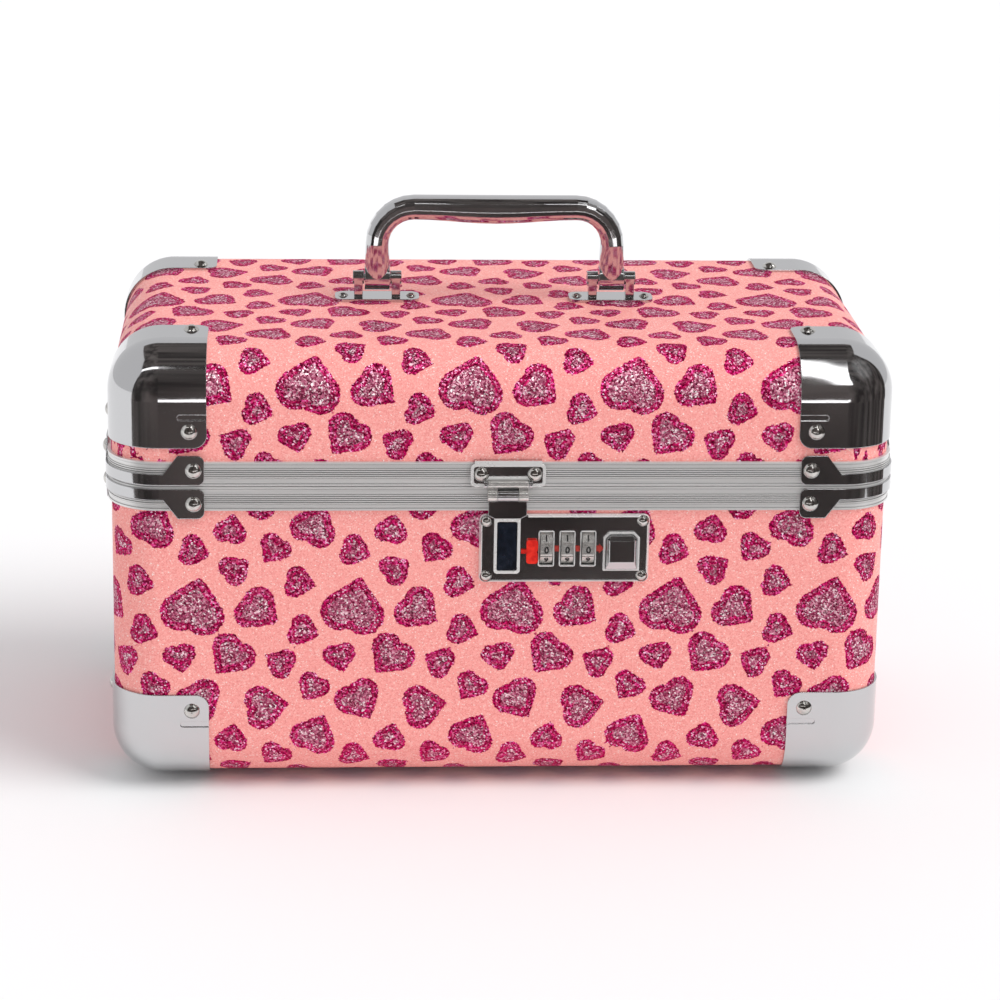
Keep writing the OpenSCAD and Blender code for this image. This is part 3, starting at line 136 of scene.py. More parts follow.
# %% [markdown]
# Chrome shows nothing but its surroundings, so the surroundings are designed first. The case
# stands on a pale floor in a pale room, which gives the light rims. A dark card stands in
# front, leans in overhead and turns the corner to the right. It gives the dark faces that make
# chrome read as chrome, and its mottled tone keeps them from looking like holes. Three thin
# bright strips before it draw the streaks along the bends, and a soft box leaves one white
# patch. Only reflections see the cards and the strips, so they take no light from the film.

# %% Studio sheets
def plain(name, colour, glow=0.0):
    """A studio surface with one colour, which may glow."""
    material, tree, shader = start_finish(name, Roughness=0.8, Emission_Strength=glow)
    shader.inputs["Base Color"].default_value = linear(colour)
    shader.inputs["Emission Color"].default_value = linear(colour)
    return material


def sheet_between(name, material, one_edge, other_edge, mirrored_only=True):
    """A sheet between two lines of points. If mirrored_only, only reflections see it."""
    corners = [p for pair in zip(one_edge, other_edge) for p in pair]
    faces = [(2 * k, 2 * k + 1, 2 * k + 3, 2 * k + 2) for k in range(len(one_edge) - 1)]
    mesh = bpy.data.meshes.new(name)
    mesh.from_pydata(corners, [], faces)
    mesh.materials.append(material)
    flat = bpy.data.objects.new(name, mesh)
    bpy.context.scene.collection.objects.link(flat)
    if mirrored_only:
        for ray in ("camera", "diffuse", "transmission", "volume_scatter", "shadow"):
            setattr(flat, "visible_" + ray, False)


def sheet_of(name, material, outline, low_x, high_x, mirrored_only=True):
    """A sheet from low_x to high_x along an outline of y and z, in metres."""
    low_edge, high_edge = ([(x, y, z) for y, z in outline] for x in (low_x, high_x))
    sheet_between(name, material, low_edge, high_edge, mirrored_only)


print("studio helpers ready")

# %% Floor and dark cards
floor_y, card_y = [(-6, 0), (14, 0)], [(-0.29, 0.0), (-0.40, 0.62), (-0.14, 0.98)]
sheet_of("floor", plain("pale_floor_paint", "#f9f9f9"), floor_y, -10, 10, mirrored_only=False)
dark, tree, shader = start_finish("dark_card", Roughness=0.9)
clouds = add_node(tree, "ShaderNodeTexNoise", {"Scale": 7.0, "Detail": 3.0})
tone = add_node(tree, "ShaderNodeValToRGB", {"Fac": clouds.outputs["Fac"]})
set_ramp(tone, [(0.38, "#2c2827"), (0.68, "#6e6865")])
tree.links.new(tone.outputs[0], shader.inputs["Base Color"])
card_left, card_right = -0.56, 0.47
sheet_of("front_card", dark, [*card_y, (0.7, 1.02)], card_left, card_right)
sheet_between("right_card", dark, [(card_right, y, z) for y, z in card_y],
              [(0.43, 0.02, 0.0), (0.45, 0.02, 0.62), (0.47, 0.1, 0.99)])
print("front card:", round(card_right - card_left, 2), "m wide and", card_y[-1][1], "m high")

# %% Bright strips
strip_glow = plain("strip_glow", "#ffffff", glow=1.7)
high_strip, low_strip = [(-0.335, 0.575), (-0.325, 0.635)], [(-0.3025, 0.120), (-0.305, 0.133)]
sheet_of("bright_strip_left", strip_glow, high_strip, -0.5, -0.155)
sheet_of("bright_strip_middle", strip_glow, high_strip, -0.03, 0.17)
sheet_of("low_strip", strip_glow, low_strip, -0.15, 0.2)
sheet_of("soft_box", strip_glow, [(-0.325, 0.27), (-0.38, 0.60), (-0.16, 0.90)], 0.172, 0.226)

# %% [markdown]
# The room lights the case evenly. A broad sun from the right and a little in front adds the
# shadow on the left and makes the glitter sparkle, and its wide angle keeps the edge soft.

# %% Light
room = bpy.data.worlds.new("pale_room")
room.use_nodes = True
room.node_tree.nodes["Background"].inputs["Color"].default_value = linear("#fdfdff")
room.node_tree.nodes["Background"].inputs["Strength"].default_value = 0.7
bpy.context.scene.world = room
bpy.context.scene.view_settings.view_transform = "Standard"

key = bpy.data.lights.new("broad_sun", "SUN")
key.energy, key.angle = 1.75, math.radians(38)
sun = bpy.data.objects.new("broad_sun", key)
sun.matrix_world = Vector((-0.62, 0.26, -0.74)).to_track_quat("-Z", "Y").to_matrix().to_4x4()
bpy.context.scene.collection.objects.link(sun)
print("light:", key.name, key.energy, "W per square metre")

# %% [markdown]
# ## The print
# The film carries glitter hearts of three sizes, turned every way and evenly spaced. Copying
# one heart on a grid would look like wallpaper. Here hearts are dropped at random in a tile
# that repeats, and each pushes its neighbours away until all have room, which is how a
# textile designer fills a repeat.

# %% Hearts pushed apart in a repeating tile
tile = np.array([61.0, 85.0])
large, medium, small, half_gap = 25.0, 18.5, 13.3, 1.7
heart_widths = np.array([large] + [medium] * 5 + [small] * 9)
chance = np.random.default_rng(11)
heart_places = chance.random((len(heart_widths), 2)) * tile
heart_turns = chance.random(len(heart_widths)) * 2 * math.pi
room_wanted = heart_widths * 0.5 + half_gap


def nearest_copy(offset):
    """The shortest offset between two points of a tile that repeats."""
    return offset - tile * np.round(offset / tile)


far_off, rounds, firmness = np.eye(len(heart_widths)) * 1e3, 600, 0.25
for step in range(rounds):
    offset = nearest_copy(heart_places[:, None] - heart_places[None])
    distance = np.linalg.norm(offset, axis=2) + far_off
    overlap = np.clip(room_wanted[:, None] + room_wanted[None] - distance, 0, None)
    push = (offset / distance[..., None] * overlap[..., None]).sum(1)
    heart_places = (heart_places + firmness * push) % tile
print("hearts:", len(heart_widths), "worst overlap:", round(float(overlap.max()), 2), "mm")

# %% [markdown]
# A heart is a square with two half discs on it, so the distance to its outline has an exact
# formula. Knowing the distance, and not only in or out, lets one number draw the magenta ring,
# the paler line inside it, the middle and the ragged edge.

# %% Distance to the nearest heart
unit_heart_width, unit_heart_middle, rounding = 1.207, 0.56, 0.06


def heart_distance(x, y):
    """Signed distance to a heart about 1.2 wide with its tip at the origin, negative inside."""
    x = np.abs(x)
    lobe = np.hypot(x - 0.25, y - 0.75) - math.sqrt(2) / 4
    middle = 0.5 * np.maximum(x + y, 0)
    edge = np.sqrt(np.minimum(x ** 2 + (y - 1) ** 2, (x - middle) ** 2 + (y - middle) ** 2))
    return np.where(x + y > 1, lobe, edge * np.sign(x - y))


def print_distance(sheet):
    """Millimetres from each point of the sheet to the nearest heart's outline."""
    best = np.full(len(sheet), 1e3)
    for place, width, angle in zip(heart_places, heart_widths, heart_turns):
        p = nearest_copy(sheet - place)
        x = p[:, 0] * math.cos(angle) + p[:, 1] * math.sin(angle)
        y = p[:, 1] * math.cos(angle) - p[:, 0] * math.sin(angle)
        plump = rounding * width
        unit = (width - 2 * plump) / unit_heart_width
        edge = heart_distance(x / unit, y / unit + unit_heart_middle) * unit - plump
        best = np.minimum(best, edge)
    return best


probe = print_distance(chance.random((4000, 2)) * tile)
print("share of the film under hearts:", round(float((probe < 0).mean()), 2))

# %% [markdown]
# ## The skin
# The film lies on a box whose edges are all rounded to one radius. A subdivided cube could be
# bevelled, but then nothing would tie the print to the sheet. Here a plain box of grid lines
# is wrapped onto the rounded form: each point goes to the nearest place in a smaller inner
# box, and from there one radius outwards. The grid's lines also follow the lock's cut-out.

# %% Sizes of the skin
edge_r, film_t, tiny = 19.0, 0.8, 1e-6
body_low, body_high = (np.array(v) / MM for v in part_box("body_covering"))
lid_low, lid_high = (np.array(v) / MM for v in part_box("lid_covering"))
lock_low, lock_high = (np.array(v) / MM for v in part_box("lock_case"))
print("body skin", np.round(body_high - body_low, 2), "lid skin", np.round(lid_high - lid_low, 2))


# %% Grid lines
def grid_lines(low, high, step, stops=(), round_high=True):
    """Line places from low to high: close in the rounded ends, even between, and on each stop."""
    bend = edge_r * np.tan(np.linspace(0, math.pi / 4, 8))
    knots = sorted([low + edge_r, *stops, high - edge_r if round_high else high])
    middle = [np.linspace(a, b, max(2, round((b - a) / step) + 1))[:-1]
              for a, b in zip(knots, knots[1:])]
    tail = high - edge_r + bend if round_high else [high]
    return np.concatenate([(low + edge_r - bend)[::-1][:-1], *middle, tail])


def wrap_on_rounded_box(points, low, high, open_up):
    """Moves points of a plain box onto the box with rounded edges that is open on one side."""
    inner_low, inner_high = low + edge_r, high - edge_r
    if open_up:
        inner_high[2] = high[2]
    else:
        inner_low[2] = low[2]
    core = np.clip(points, inner_low, inner_high)
    out = points - core
    return core, core + out / np.linalg.norm(out, axis=1, keepdims=True) * edge_r


print("lines across the front:", len(grid_lines(-149, 149, 2.0)))

# %% [markdown]
# The flat sheet is the body's wall unrolled: how far round the case a point lies, and how far
# below the seam. The lid's sheet is one piece over the top whose four flaps fold down, and
# the folds that don't match meet under the corner caps, as on the real case.

# %% Flat places on the body's sheet
def body_sheet(core, skin, low, high):
    """Distance round the body from the middle of its front, and depth below the seam."""
    a, b = (high[:2] - low[:2]) / 2 - edge_r
    middle = (high + low)[:2] / 2
    px, py = (core[:, :2] - middle).T
    dx, dy, dz = ((skin - core) / edge_r).T
    no_x, no_y = np.abs(dx) < tiny, np.abs(dy) < tiny
    round_corner = np.where(no_x & no_y, 0, np.arctan2(np.abs(dx), -dy))
    front = py < 0
    across = np.where(front & no_x, np.abs(px), a) + edge_r * round_corner + (py + b)
    back_run = np.where(~front & no_x, a - np.abs(px), 0)
    side = np.where(np.abs(px) < tiny, 1, np.sign(px))
    down = high[2] - core[:, 2] + edge_r * np.arcsin(np.clip(-dz, 0, 1))
    under = dz < -0.999
    across = np.where(under, np.abs(px), across + back_run)
    return np.stack([side * across, -(down + np.where(under, py + b, 0))], 1)


print("body sheet map ready")

# %% Flat places on the lid's sheet
lid_print_start = [17.0, 40.0]


def lid_sheet(core, skin, low, high):
    """Places on the sheet that lies on the lid and folds down on all four sides."""
    place = core[:, :2] - (high + low)[:2] / 2
    facing = (skin - core) / edge_r
    drop = edge_r * np.arccos(np.clip(facing[:, 2], -1, 1)) + (high[2] - edge_r - core[:, 2])
    sideways = np.abs(facing[:, :2]).max(1, keepdims=True)
    lean = facing[:, :2] / np.maximum(sideways, tiny)
    return place + lean * drop[:, None] * (sideways > tiny) + lid_print_start


print("lid sheet map ready")

# %% [markdown]
# The skin is built once for each half, side by side, and its doubles are merged so that it
# runs on round every corner. Its distance to the hearts is stored on the points, and Solidify
# gives it the film's thickness on the inside.

# %% Grids of a box's five sides
def five_sides(low, high, step, open_up, window):
    """Points and faces of a plain box without its top or its bottom, less a window in front."""
    stops = [[], [], []]
    if window:
        stops[0], stops[2] = [window[0][0], window[1][0]], [window[0][2], window[1][2]]
    lines = [grid_lines(low[k], high[k], step, stops[k]) for k in (0, 1)]
    if open_up:
        lines.append(grid_lines(low[2], high[2], step, stops[2], round_high=False))
    else:
        upwards = grid_lines(low[2], high[2], step, round_high=False)
        lines.append(low[2] + high[2] - upwards[::-1])
    points, faces = [], []
    base = low[2] if open_up else high[2]
    for axis, at in ((1, low[1]), (1, high[1]), (0, low[0]), (0, high[0]), (2, base)):
        one, two = [k for k in (0, 1, 2) if k != axis]
        u, v = np.meshgrid(lines[one], lines[two], indexing="ij")
        block = np.zeros((u.size, 3))
        block[:, one], block[:, two], block[:, axis] = u.ravel(), v.ravel(), at
        index = np.arange(u.size).reshape(u.shape) + sum(len(p) for p in points)
        quads = np.stack([index[:-1, :-1], index[1:, :-1], index[1:, 1:], index[:-1, 1:]], -1)
        quads = quads.reshape(-1, 4)
        if window and axis == 1 and at == low[1]:
            middles = np.stack([((g[:-1, :-1] + g[1:, 1:]) / 2).ravel() for g in (u, v)], -1)
            inside = ((middles > window[0][[0, 2]]) & (middles < window[1][[0, 2]])).all(1)
            quads = quads[~inside]
        points.append(block)
        faces.extend(quads.tolist())
    return np.concatenate(points), faces


print("grids ready")

# %% Build a skin
def skin_piece(name, low, high, step, open_up, to_sheet, window=None):
    """A rounded, five-sided skin with its print distance stored on every point."""
    points, faces = five_sides(low, high, step, open_up, window)
    core, skin = wrap_on_rounded_box(points, low, high, open_up)
    mesh = bpy.data.meshes.new(name)
    mesh.from_pydata(skin * MM, [], faces)
    distance = print_distance(to_sheet(core, skin, low, high))
    mesh.attributes.new("heart_mm", "FLOAT", "POINT").data.foreach_set("value", distance)
    shell = bmesh.new()
    shell.from_mesh(mesh)
    bmesh.ops.remove_doubles(shell, verts=shell.verts, dist=tiny)
    bmesh.ops.dissolve_degenerate(shell, edges=shell.edges, dist=tiny / 10)
    bmesh.ops.recalc_face_normals(shell, faces=shell.faces)
    rearmost = max(shell.faces, key=lambda f: f.calc_center_median().y)
    if rearmost.normal.y < 0:
        bmesh.ops.reverse_faces(shell, faces=shell.faces)
    shell.to_mesh(mesh)
    shell.free()
    mesh.shade_smooth()
    piece = bpy.data.objects.new(name, mesh)
    bpy.context.scene.collection.objects.link(piece)
    thick = piece.modifiers.new("film", "SOLIDIFY")
    thick.thickness, thick.offset = film_t * MM, -1
    return piece


lock_clearance, body_step, lid_step = 0.2, 2.0, 1.8
body_skin = skin_piece("heart_print_body", body_low, body_high, body_step, True, body_sheet,
                       (lock_low - lock_clearance, lock_high + lock_clearance))
lid_skin = skin_piece("heart_print_lid", lid_low, lid_high, lid_step, False, lid_sheet)
print("faces:", len(body_skin.data.polygons), len(lid_skin.data.polygons))

# %% [markdown]
# ## Glitter film
# The film is soft PVC with fine glitter in it, so its shine is weak and tinted. The hearts
# are coarser glitter glued on: a magenta ring, a paler line, a second thin ring and a dusty
# pink middle, all with frayed edges. A ramp over the first 5 mm of depth draws them in turn.
# Two noises disturb the stored distance, one with lumps of 1.4 mm that frays the edge and one
# of 4 mm that lets the rings wander. Each flake is a tiny mirror, so a Voronoi pattern gives
# each cell its own colour, gloss and tilt. Real flakes are about 0.2 mm, and they are drawn at
# 0.55 mm so that they show.

# %% Where the hearts and their rings are
flake_mm, speck_mm = 0.55, 0.4
film, tree, shader = start_finish("glitter_pvc_film", Specular_IOR_Level=0.1)
shader.inputs["Specular Tint"].default_value = linear("#dc6c8c")
where = add_node(tree, "ShaderNodeTexCoord").outputs["Object"]
stored = add_node(tree, "ShaderNodeAttribute", attribute_name="heart_mm").outputs["Fac"]
frayed = add_node(tree, "ShaderNodeTexNoise",
                  {"Vector": where, "Scale": 700, "Detail": 3, "Roughness": 0.65})
wander = add_node(tree, "ShaderNodeTexNoise", {"Vector": where, "Scale": 260, "Detail": 1})
fray_mm, wander_mm = 2.2, 2.6
shift = add_node(tree, "ShaderNodeMath",
                 {0: frayed.outputs["Fac"], 1: fray_mm, 2: -fray_mm / 2}, operation="MULTIPLY_ADD")
drift = add_node(tree, "ShaderNodeMath",
                 {0: wander.outputs["Fac"], 1: wander_mm, 2: -wander_mm / 2},
                 operation="MULTIPLY_ADD")
edge = add_node(tree, "ShaderNodeMath", {0: stored, 1: shift.outputs[0]})
depth = add_node(tree, "ShaderNodeMath", {0: edge.outputs[0], 1: drift.outputs[0]})
in_heart = add_node(tree, "ShaderNodeMapRange",
                    {"Value": edge.outputs[0], "From Min": -0.05, "From Max": -0.3})
deep = add_node(tree, "ShaderNodeMapRange",
                {"Value": depth.outputs[0], "From Min": 0.0, "From Max": -5.0})
pale = add_node(tree, "ShaderNodeValToRGB", {"Fac": deep.outputs[0]})
set_ramp(pale, [(0.2, "#000000"), (0.3, "#a0a0a0"), (0.4, "#a0a0a0"), (0.48, "#000000"),
                (0.58, "#000000"), (0.68, "#ffffff")])
print("rings:", len(tree.nodes), "nodes")

# %% Colours of the flakes, the palest of them painted glints
flakes = add_node(tree, "ShaderNodeTexVoronoi", {"Vector": where, "Scale": 1 / (flake_mm * MM)})
flake = add_node(tree, "ShaderNodeSeparateColor", {0: flakes.outputs["Color"]})
ring = add_node(tree, "ShaderNodeValToRGB", {"Fac": flake.outputs[0]})
# The ring's flakes run from deep to pale magenta; the near-white top of the ramp paints in glints.
set_ramp(ring, [(0.0, "#70042c"), (0.35, "#b0084a"), (0.7, "#d41466"), (0.9, "#f054a4"),
                (1.0, "#ffd0ea")])
centre = add_node(tree, "ShaderNodeValToRGB", {"Fac": flake.outputs[0]})
# The middle's flakes are dusty pinks; the near-white top of the ramp paints in glints.
set_ramp(centre, [(0.0, "#8a2244"), (0.4, "#b45074"), (0.75, "#d68ca2"), (0.92, "#f2ccd4"),
                  (1.0, "#fff6f6")])
specks = add_node(tree, "ShaderNodeTexVoronoi", {"Vector": where, "Scale": 1 / (speck_mm * MM)})
speck = add_node(tree, "ShaderNodeSeparateColor", {0: specks.outputs["Color"]})
ground = add_node(tree, "ShaderNodeValToRGB", {"Fac": speck.outputs[0]})
# The ground's specks are paler glitter; the rare near-white ones are painted glints.
set_ramp(ground, [(0.0, "#ee948f"), (0.3, "#f9a29c"), (0.85, "#ffb0a8"), (0.97, "#ffc8c0"),
                  (1.0, "#ffe6e0")])
heart = add_node(tree, "ShaderNodeMix",
                 {0: pale.outputs[0], 6: ring.outputs[0], 7: centre.outputs[0]}, data_type="RGBA")
film_tone = add_node(tree, "ShaderNodeMix",
                     {0: in_heart.outputs[0], 6: ground.outputs[0], 7: heart.outputs[2]},
                     data_type="RGBA")
tree.links.new(film_tone.outputs[2], shader.inputs["Base Color"])
print("film colours:", len(tree.nodes), "nodes")

# %% [markdown]
# The tilt of the flakes is what makes glitter sparkle. Each cell's random colour is read as a
# small vector and added to the surface normal, much in the hearts and little on the ground.
# About a third of the flakes in the hearts are bare metal, and half of them stay dull.

# %% Sparkle of the film
shiny = add_node(tree, "ShaderNodeMapRange",
                 {"Value": flake.outputs[2], "From Min": 0.5, "From Max": 0.7,
                  "To Min": 0.12, "To Max": 0.85})
metal = add_node(tree, "ShaderNodeMath", {0: in_heart.outputs[0], 1: shiny.outputs[0]},
                 operation="MULTIPLY")
tree.links.new(metal.outputs[0], shader.inputs["Metallic"])
gloss = add_node(tree, "ShaderNodeMapRange",
                 {"Value": flake.outputs[1], "To Min": 0.22, "To Max": 0.6})
tree.links.new(gloss.outputs[0], shader.inputs["Roughness"])
tilt = add_node(tree, "ShaderNodeVectorMath", {0: flakes.outputs["Color"], 1: (0.5, 0.5, 0.5)},
                operation="SUBTRACT")
amount = add_node(tree, "ShaderNodeMapRange",
                  {"Value": in_heart.outputs[0], "To Min": 0.16, "To Max": 0.75})
tilt = add_node(tree, "ShaderNodeVectorMath", {0: tilt.outputs[0], 3: amount.outputs[0]},
                operation="SCALE")
untilted = add_node(tree, "ShaderNodeNewGeometry").outputs["Normal"]
tilt = add_node(tree, "ShaderNodeVectorMath", {0: tilt.outputs[0], 1: untilted}, operation="ADD")
tilt = add_node(tree, "ShaderNodeVectorMath", {0: tilt.outputs[0]}, operation="NORMALIZE")
tree.links.new(tilt.outputs[0], shader.inputs["Normal"])
for piece, node, body in ((body_skin, "body_covering", "case_body"),
                          (lid_skin, "lid_covering", "lid")):
    piece.data.materials.append(film)
    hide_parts(node)
    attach(piece, body)
print("film sparkles")

# %% [markdown]
# ## Metals
# Most finishes below are a noise in real millimetres that shifts the colour and the gloss a
# little together, which one function does. A noise of scale 500 has lumps of 1/500 m, 2 mm.
#
# The rims are drawn aluminium, anodised clear. Drawing leaves fine lines along the bar, so the
# noise is stretched until it varies only with height. The clear oxide scatters light, so the
# finish is not all metal. The reeds are close together, and Ambient Occlusion paints shade into
# the colour of the grooves between them. The Bevel node rounds every edge a little for the light
# alone.

# %% One noise for colour and gloss
def tone_and_gloss(tree, shader, value, stops, gloss=None):
    """Turns a value into the shader's colour and, if given a low and a high, its roughness."""
    tone = add_node(tree, "ShaderNodeValToRGB", {"Fac": value})
    set_ramp(tone, stops)
    tree.links.new(tone.outputs[0], shader.inputs["Base Color"])
    if gloss:
        rough = add_node(tree, "ShaderNodeMapRange",
                         {"Value": value, "To Min": gloss[0], "To Max": gloss[1]})
        tree.links.new(rough.outputs[0], shader.inputs["Roughness"])
    return tone


def mottled(tree, shader, scale, detail, stops, gloss=None):
    """Colour and gloss from a noise on the piece's own coordinates. Gives the noise's value."""
    where = add_node(tree, "ShaderNodeTexCoord").outputs["Object"]
    noise = add_node(tree, "ShaderNodeTexNoise",
                     {"Vector": where, "Scale": scale, "Detail": detail})
    tone_and_gloss(tree, shader, noise.outputs["Fac"], stops, gloss)
    return noise.outputs["Fac"]


print("mottling ready")

# %% Finish: anodised aluminium
aluminium, tree, shader = start_finish("clear_anodised_aluminium", Metallic=0.55)
where = add_node(tree, "ShaderNodeTexCoord").outputs["Object"]
stretched = add_node(tree, "ShaderNodeMapping", {"Vector": where, "Scale": (12, 12, 5200)})
lines = add_node(tree, "ShaderNodeTexNoise",
                 {"Vector": stretched.outputs[0], "Scale": 1, "Detail": 2}).outputs["Fac"]
tone = tone_and_gloss(tree, shader, lines, [(0.3, "#dbdad9"), (0.7, "#f2f1ef")], (0.26, 0.42))
# Painted shade: the colour is darkened where Ambient Occlusion finds a groove between reeds.
nearby = add_node(tree, "ShaderNodeAmbientOcclusion", {"Distance": 0.6 * MM}, samples=8,
                  only_local=True)
painted_groove_shade = add_node(tree, "ShaderNodeMapRange",
                  {"Value": nearby.outputs["AO"], "From Min": 0.45, "To Min": 0.3})
darker = add_node(tree, "ShaderNodeVectorMath", {0: tone.outputs[0], 3: painted_groove_shade.outputs[0]},
                  operation="SCALE")
tree.links.new(darker.outputs[0], shader.inputs["Base Color"])
soft_edge = add_node(tree, "ShaderNodeBevel", {"Radius": 0.24 * MM}, samples=4)
relief = add_node(tree, "ShaderNodeBump", {"Height": lines, "Strength": 0.12, "Distance": 0.05 * MM,
                                           "Normal": soft_edge.outputs[0]})
tree.links.new(relief.outputs[0], shader.inputs["Normal"])
print("aluminium:", len(tree.nodes), "nodes")

# %% [markdown]
# The caps, clips, plates and handle are steel and zinc with bright nickel and chrome on them.
# Chrome is nearly a mirror. What tells it from glass is a slow waviness from the pressing and
# a faint haze of wiping marks, both far weaker than one expects. The raised borders of the
# lock and the hasp are satin, and a lighter colour on them is a painted highlight that makes
# them brighter than their sunk, polished fields. A border is a band of y, the depth of its
# face, so no extra piece is needed.

# %% Where chrome is satin and painted lighter as a highlight
def satin_highlight_mask(tree, where, bands, top_z):
    """One below top_z in every band, given as its middle y and half its width, and else zero."""
    place = add_node(tree, "ShaderNodeSeparateXYZ", {0: where}).outputs
    low = add_node(tree, "ShaderNodeMath", {0: place[2], 1: top_z * MM}, operation="LESS_THAN")
    inside = [add_node(tree, "ShaderNodeMath", {0: place[1], 1: y * MM, 2: half * MM},
                       operation="COMPARE").outputs[0] for y, half in bands]
    while len(inside) > 1:
        inside.append(add_node(tree, "ShaderNodeMath", {0: inside.pop(), 1: inside.pop()},
                               operation="MAXIMUM").outputs[0])
    return add_node(tree, "ShaderNodeMath", {0: low.outputs[0], 1: inside[0]},
                    operation="MULTIPLY").outputs[0]


print("satin mask ready")

# %% Finish: chrome, with satin borders in a painted highlight tone where a plate has them
# The second colour is the satin borders' lighter tone, a painted highlight.
bright, satin_painted_highlight, no_top = "#cbcbcc", "#eeedeb", 1e3


def chromed(name, satin_highlight_bands=(), top_z=no_top):
    """Chrome on pressed steel, with satin bands in a lighter, painted highlight tone if any are
    given.
    """
    material, tree, shader = start_finish(name, Metallic=1.0)
    where = add_node(tree, "ShaderNodeTexCoord").outputs["Object"]
    haze = add_node(tree, "ShaderNodeTexNoise", {"Vector": where, "Scale": 160, "Detail": 4})
    gloss = add_node(tree, "ShaderNodeMapRange",
                     {"Value": haze.outputs["Fac"], "To Min": 0.03, "To Max": 0.13})
    wave = add_node(tree, "ShaderNodeTexNoise", {"Vector": where, "Scale": 55, "Detail": 1})
    soft_edge = add_node(tree, "ShaderNodeBevel", {"Radius": 0.45 * MM}, samples=6)
    relief = add_node(tree, "ShaderNodeBump",
                      {"Height": wave.outputs["Fac"], "Strength": 0.05, "Distance": 1.5 * MM,
                       "Normal": soft_edge.outputs[0]})
    tree.links.new(relief.outputs[0], shader.inputs["Normal"])
    if not satin_highlight_bands:
        shader.inputs["Base Color"].default_value = linear(bright)
        tree.links.new(gloss.outputs[0], shader.inputs["Roughness"])
        return material
    # Painted highlight: inside the bands the chrome turns satin and also takes a lighter colour.
    satin = satin_highlight_mask(tree, where, satin_highlight_bands, top_z)
    tone = add_node(tree, "ShaderNodeMix", {0: satin, 6: linear(bright), 7: linear(satin_painted_highlight)},
                    data_type="RGBA")
    tree.links.new(tone.outputs[2], shader.inputs["Base Color"])
    metal = add_node(tree, "ShaderNodeMapRange", {"Value": satin, "To Min": 1.0, "To Max": 0.4})
    tree.links.new(metal.outputs[0], shader.inputs["Metallic"])
    rough = add_node(tree, "ShaderNodeMath", {0: satin, 1: 0.2, 2: gloss.outputs[0]},
                     operation="MULTIPLY_ADD")
    tree.links.new(rough.outputs[0], shader.inputs["Roughness"])
    return material


print("chrome finish ready")

# %% Which faces are borders
def front_planes(name):
    """The y in millimetres of a solid's planes that face the front, the largest plane first."""
    area = {}
    for face in solids[name].data.polygons:
        if face.normal.y < -0.98:
            y = round(face.center.y / MM, 1)
            area[y] = area.get(y, 0) + face.area
    return sorted(area, key=area.get, reverse=True)


plate_face = front_planes("lock_plate")[0]
hasp_rim = min(front_planes("hasp_plate")[:2])
tongue_rim, tongue_field = sorted(front_planes("hasp_tongue")[:2])
rim_band, tongue_rim_top, lock_rim_off, lock_rim_half = 0.2, 112.5, 0.6, 0.53
lock_rim = [(plate_face + off, lock_rim_half) for off in (-lock_rim_off, lock_rim_off)]
chrome = chromed("chrome_on_pressed_steel")
lock_chrome = chromed("chrome_on_lock_plate", lock_rim)
hasp_chrome = chromed("chrome_on_hasp_plate", [(hasp_rim + rim_band / 2, rim_band)])
tongue_chrome = chromed("chrome_on_hasp_tongue", [(tongue_rim + rim_band / 2, rim_band)],
                        tongue_rim_top)
print("plate face", plate_face, "hasp rim", hasp_rim, "tongue", tongue_rim, tongue_field)

# %% [markdown]
# The small castings are zinc with satin chrome, which hides a casting's pores. Rivets are
# plated with nickel, warmer than chrome. Hinges, arms and the parts inside are steel with
# plain zinc, which dries in a faint spangle.

# %% Finishes: satin chrome, nickel and zinc
zinc_chrome, tree, shader = start_finish("satin_chrome_on_zinc", Metallic=0.8)
mottled(tree, shader, 500, 3, [(0.3, "#c9c7c3"), (0.7, "#e6e4e0")], (0.16, 0.3))
soft_edge = add_node(tree, "ShaderNodeBevel", {"Radius": 0.3 * MM}, samples=4)
tree.links.new(soft_edge.outputs[0], shader.inputs["Normal"])
nickel, tree, shader = start_finish("nickel_plated_rivets", Metallic=1.0, Roughness=0.12)
mottled(tree, shader, 420, 3, [(0.25, "#b4b2ae"), (0.75, "#dedcd8")])
zinc, tree, shader = start_finish("zinc_plated_steel", Metallic=1.0)
mottled(tree, shader, 600, 4, [(0.3, "#a9adb0"), (0.7, "#c8cbcc")], (0.24, 0.44))
print("metals ready")

# %% [markdown]
# ## Plastics, rubber, lining, glass
# Moulded plastic keeps a fine spark-eroded grain from its mould. The lining is short black
# flock, which is dark face on and lighter at the edge, so it gets sheen.

# %% Finishes of the plain pieces
def grained(name, colour, light, grain_mm, low, high, **constants):
    """A finish with a fine two-tone grain and a roughness that follows it."""
    material, tree, shader = start_finish(name, **constants)
    stops = [(0.3, colour), (0.7, light)]
    grain = mottled(tree, shader, 1 / (grain_mm * MM), 2, stops, (low, high))
    relief = add_node(tree, "ShaderNodeBump",
                      {"Height": grain, "Strength": 0.25, "Distance": 0.1 * MM})
    tree.links.new(relief.outputs[0], shader.inputs["Normal"])
    return material


red_abs = grained("red_gloss_abs", "#c9140c", "#ec2a18", 1.5, 0.16, 0.28)
tray_plastic = grained("black_moulded_polystyrene", "#131214", "#201e21", 0.7, 0.34, 0.55)
frame_plastic = grained("black_satin_abs", "#0f0f10", "#1a1a1b", 0.9, 0.25, 0.4)
rubber = grained("black_moulded_rubber", "#17171a", "#232326", 1.2, 0.6, 0.8)
flock = grained("black_flocked_lining", "#0b0a0c", "#1c1a1e", 0.5, 0.85, 1.0,
                Sheen_Weight=0.5, Sheen_Roughness=0.4)
board = grained("grey_fibreboard", "#8d8478", "#a59c8e", 1.0, 0.75, 0.95)
black_paint = grained("black_enamel", "#0c0c0d", "#171718", 2.0, 0.2, 0.35)
mirror, tree, shader = start_finish("silvered_mirror_glass", Metallic=1.0, Roughness=0.015)
shader.inputs["Base Color"].default_value = linear("#e9eeec")
print("plain finishes ready")

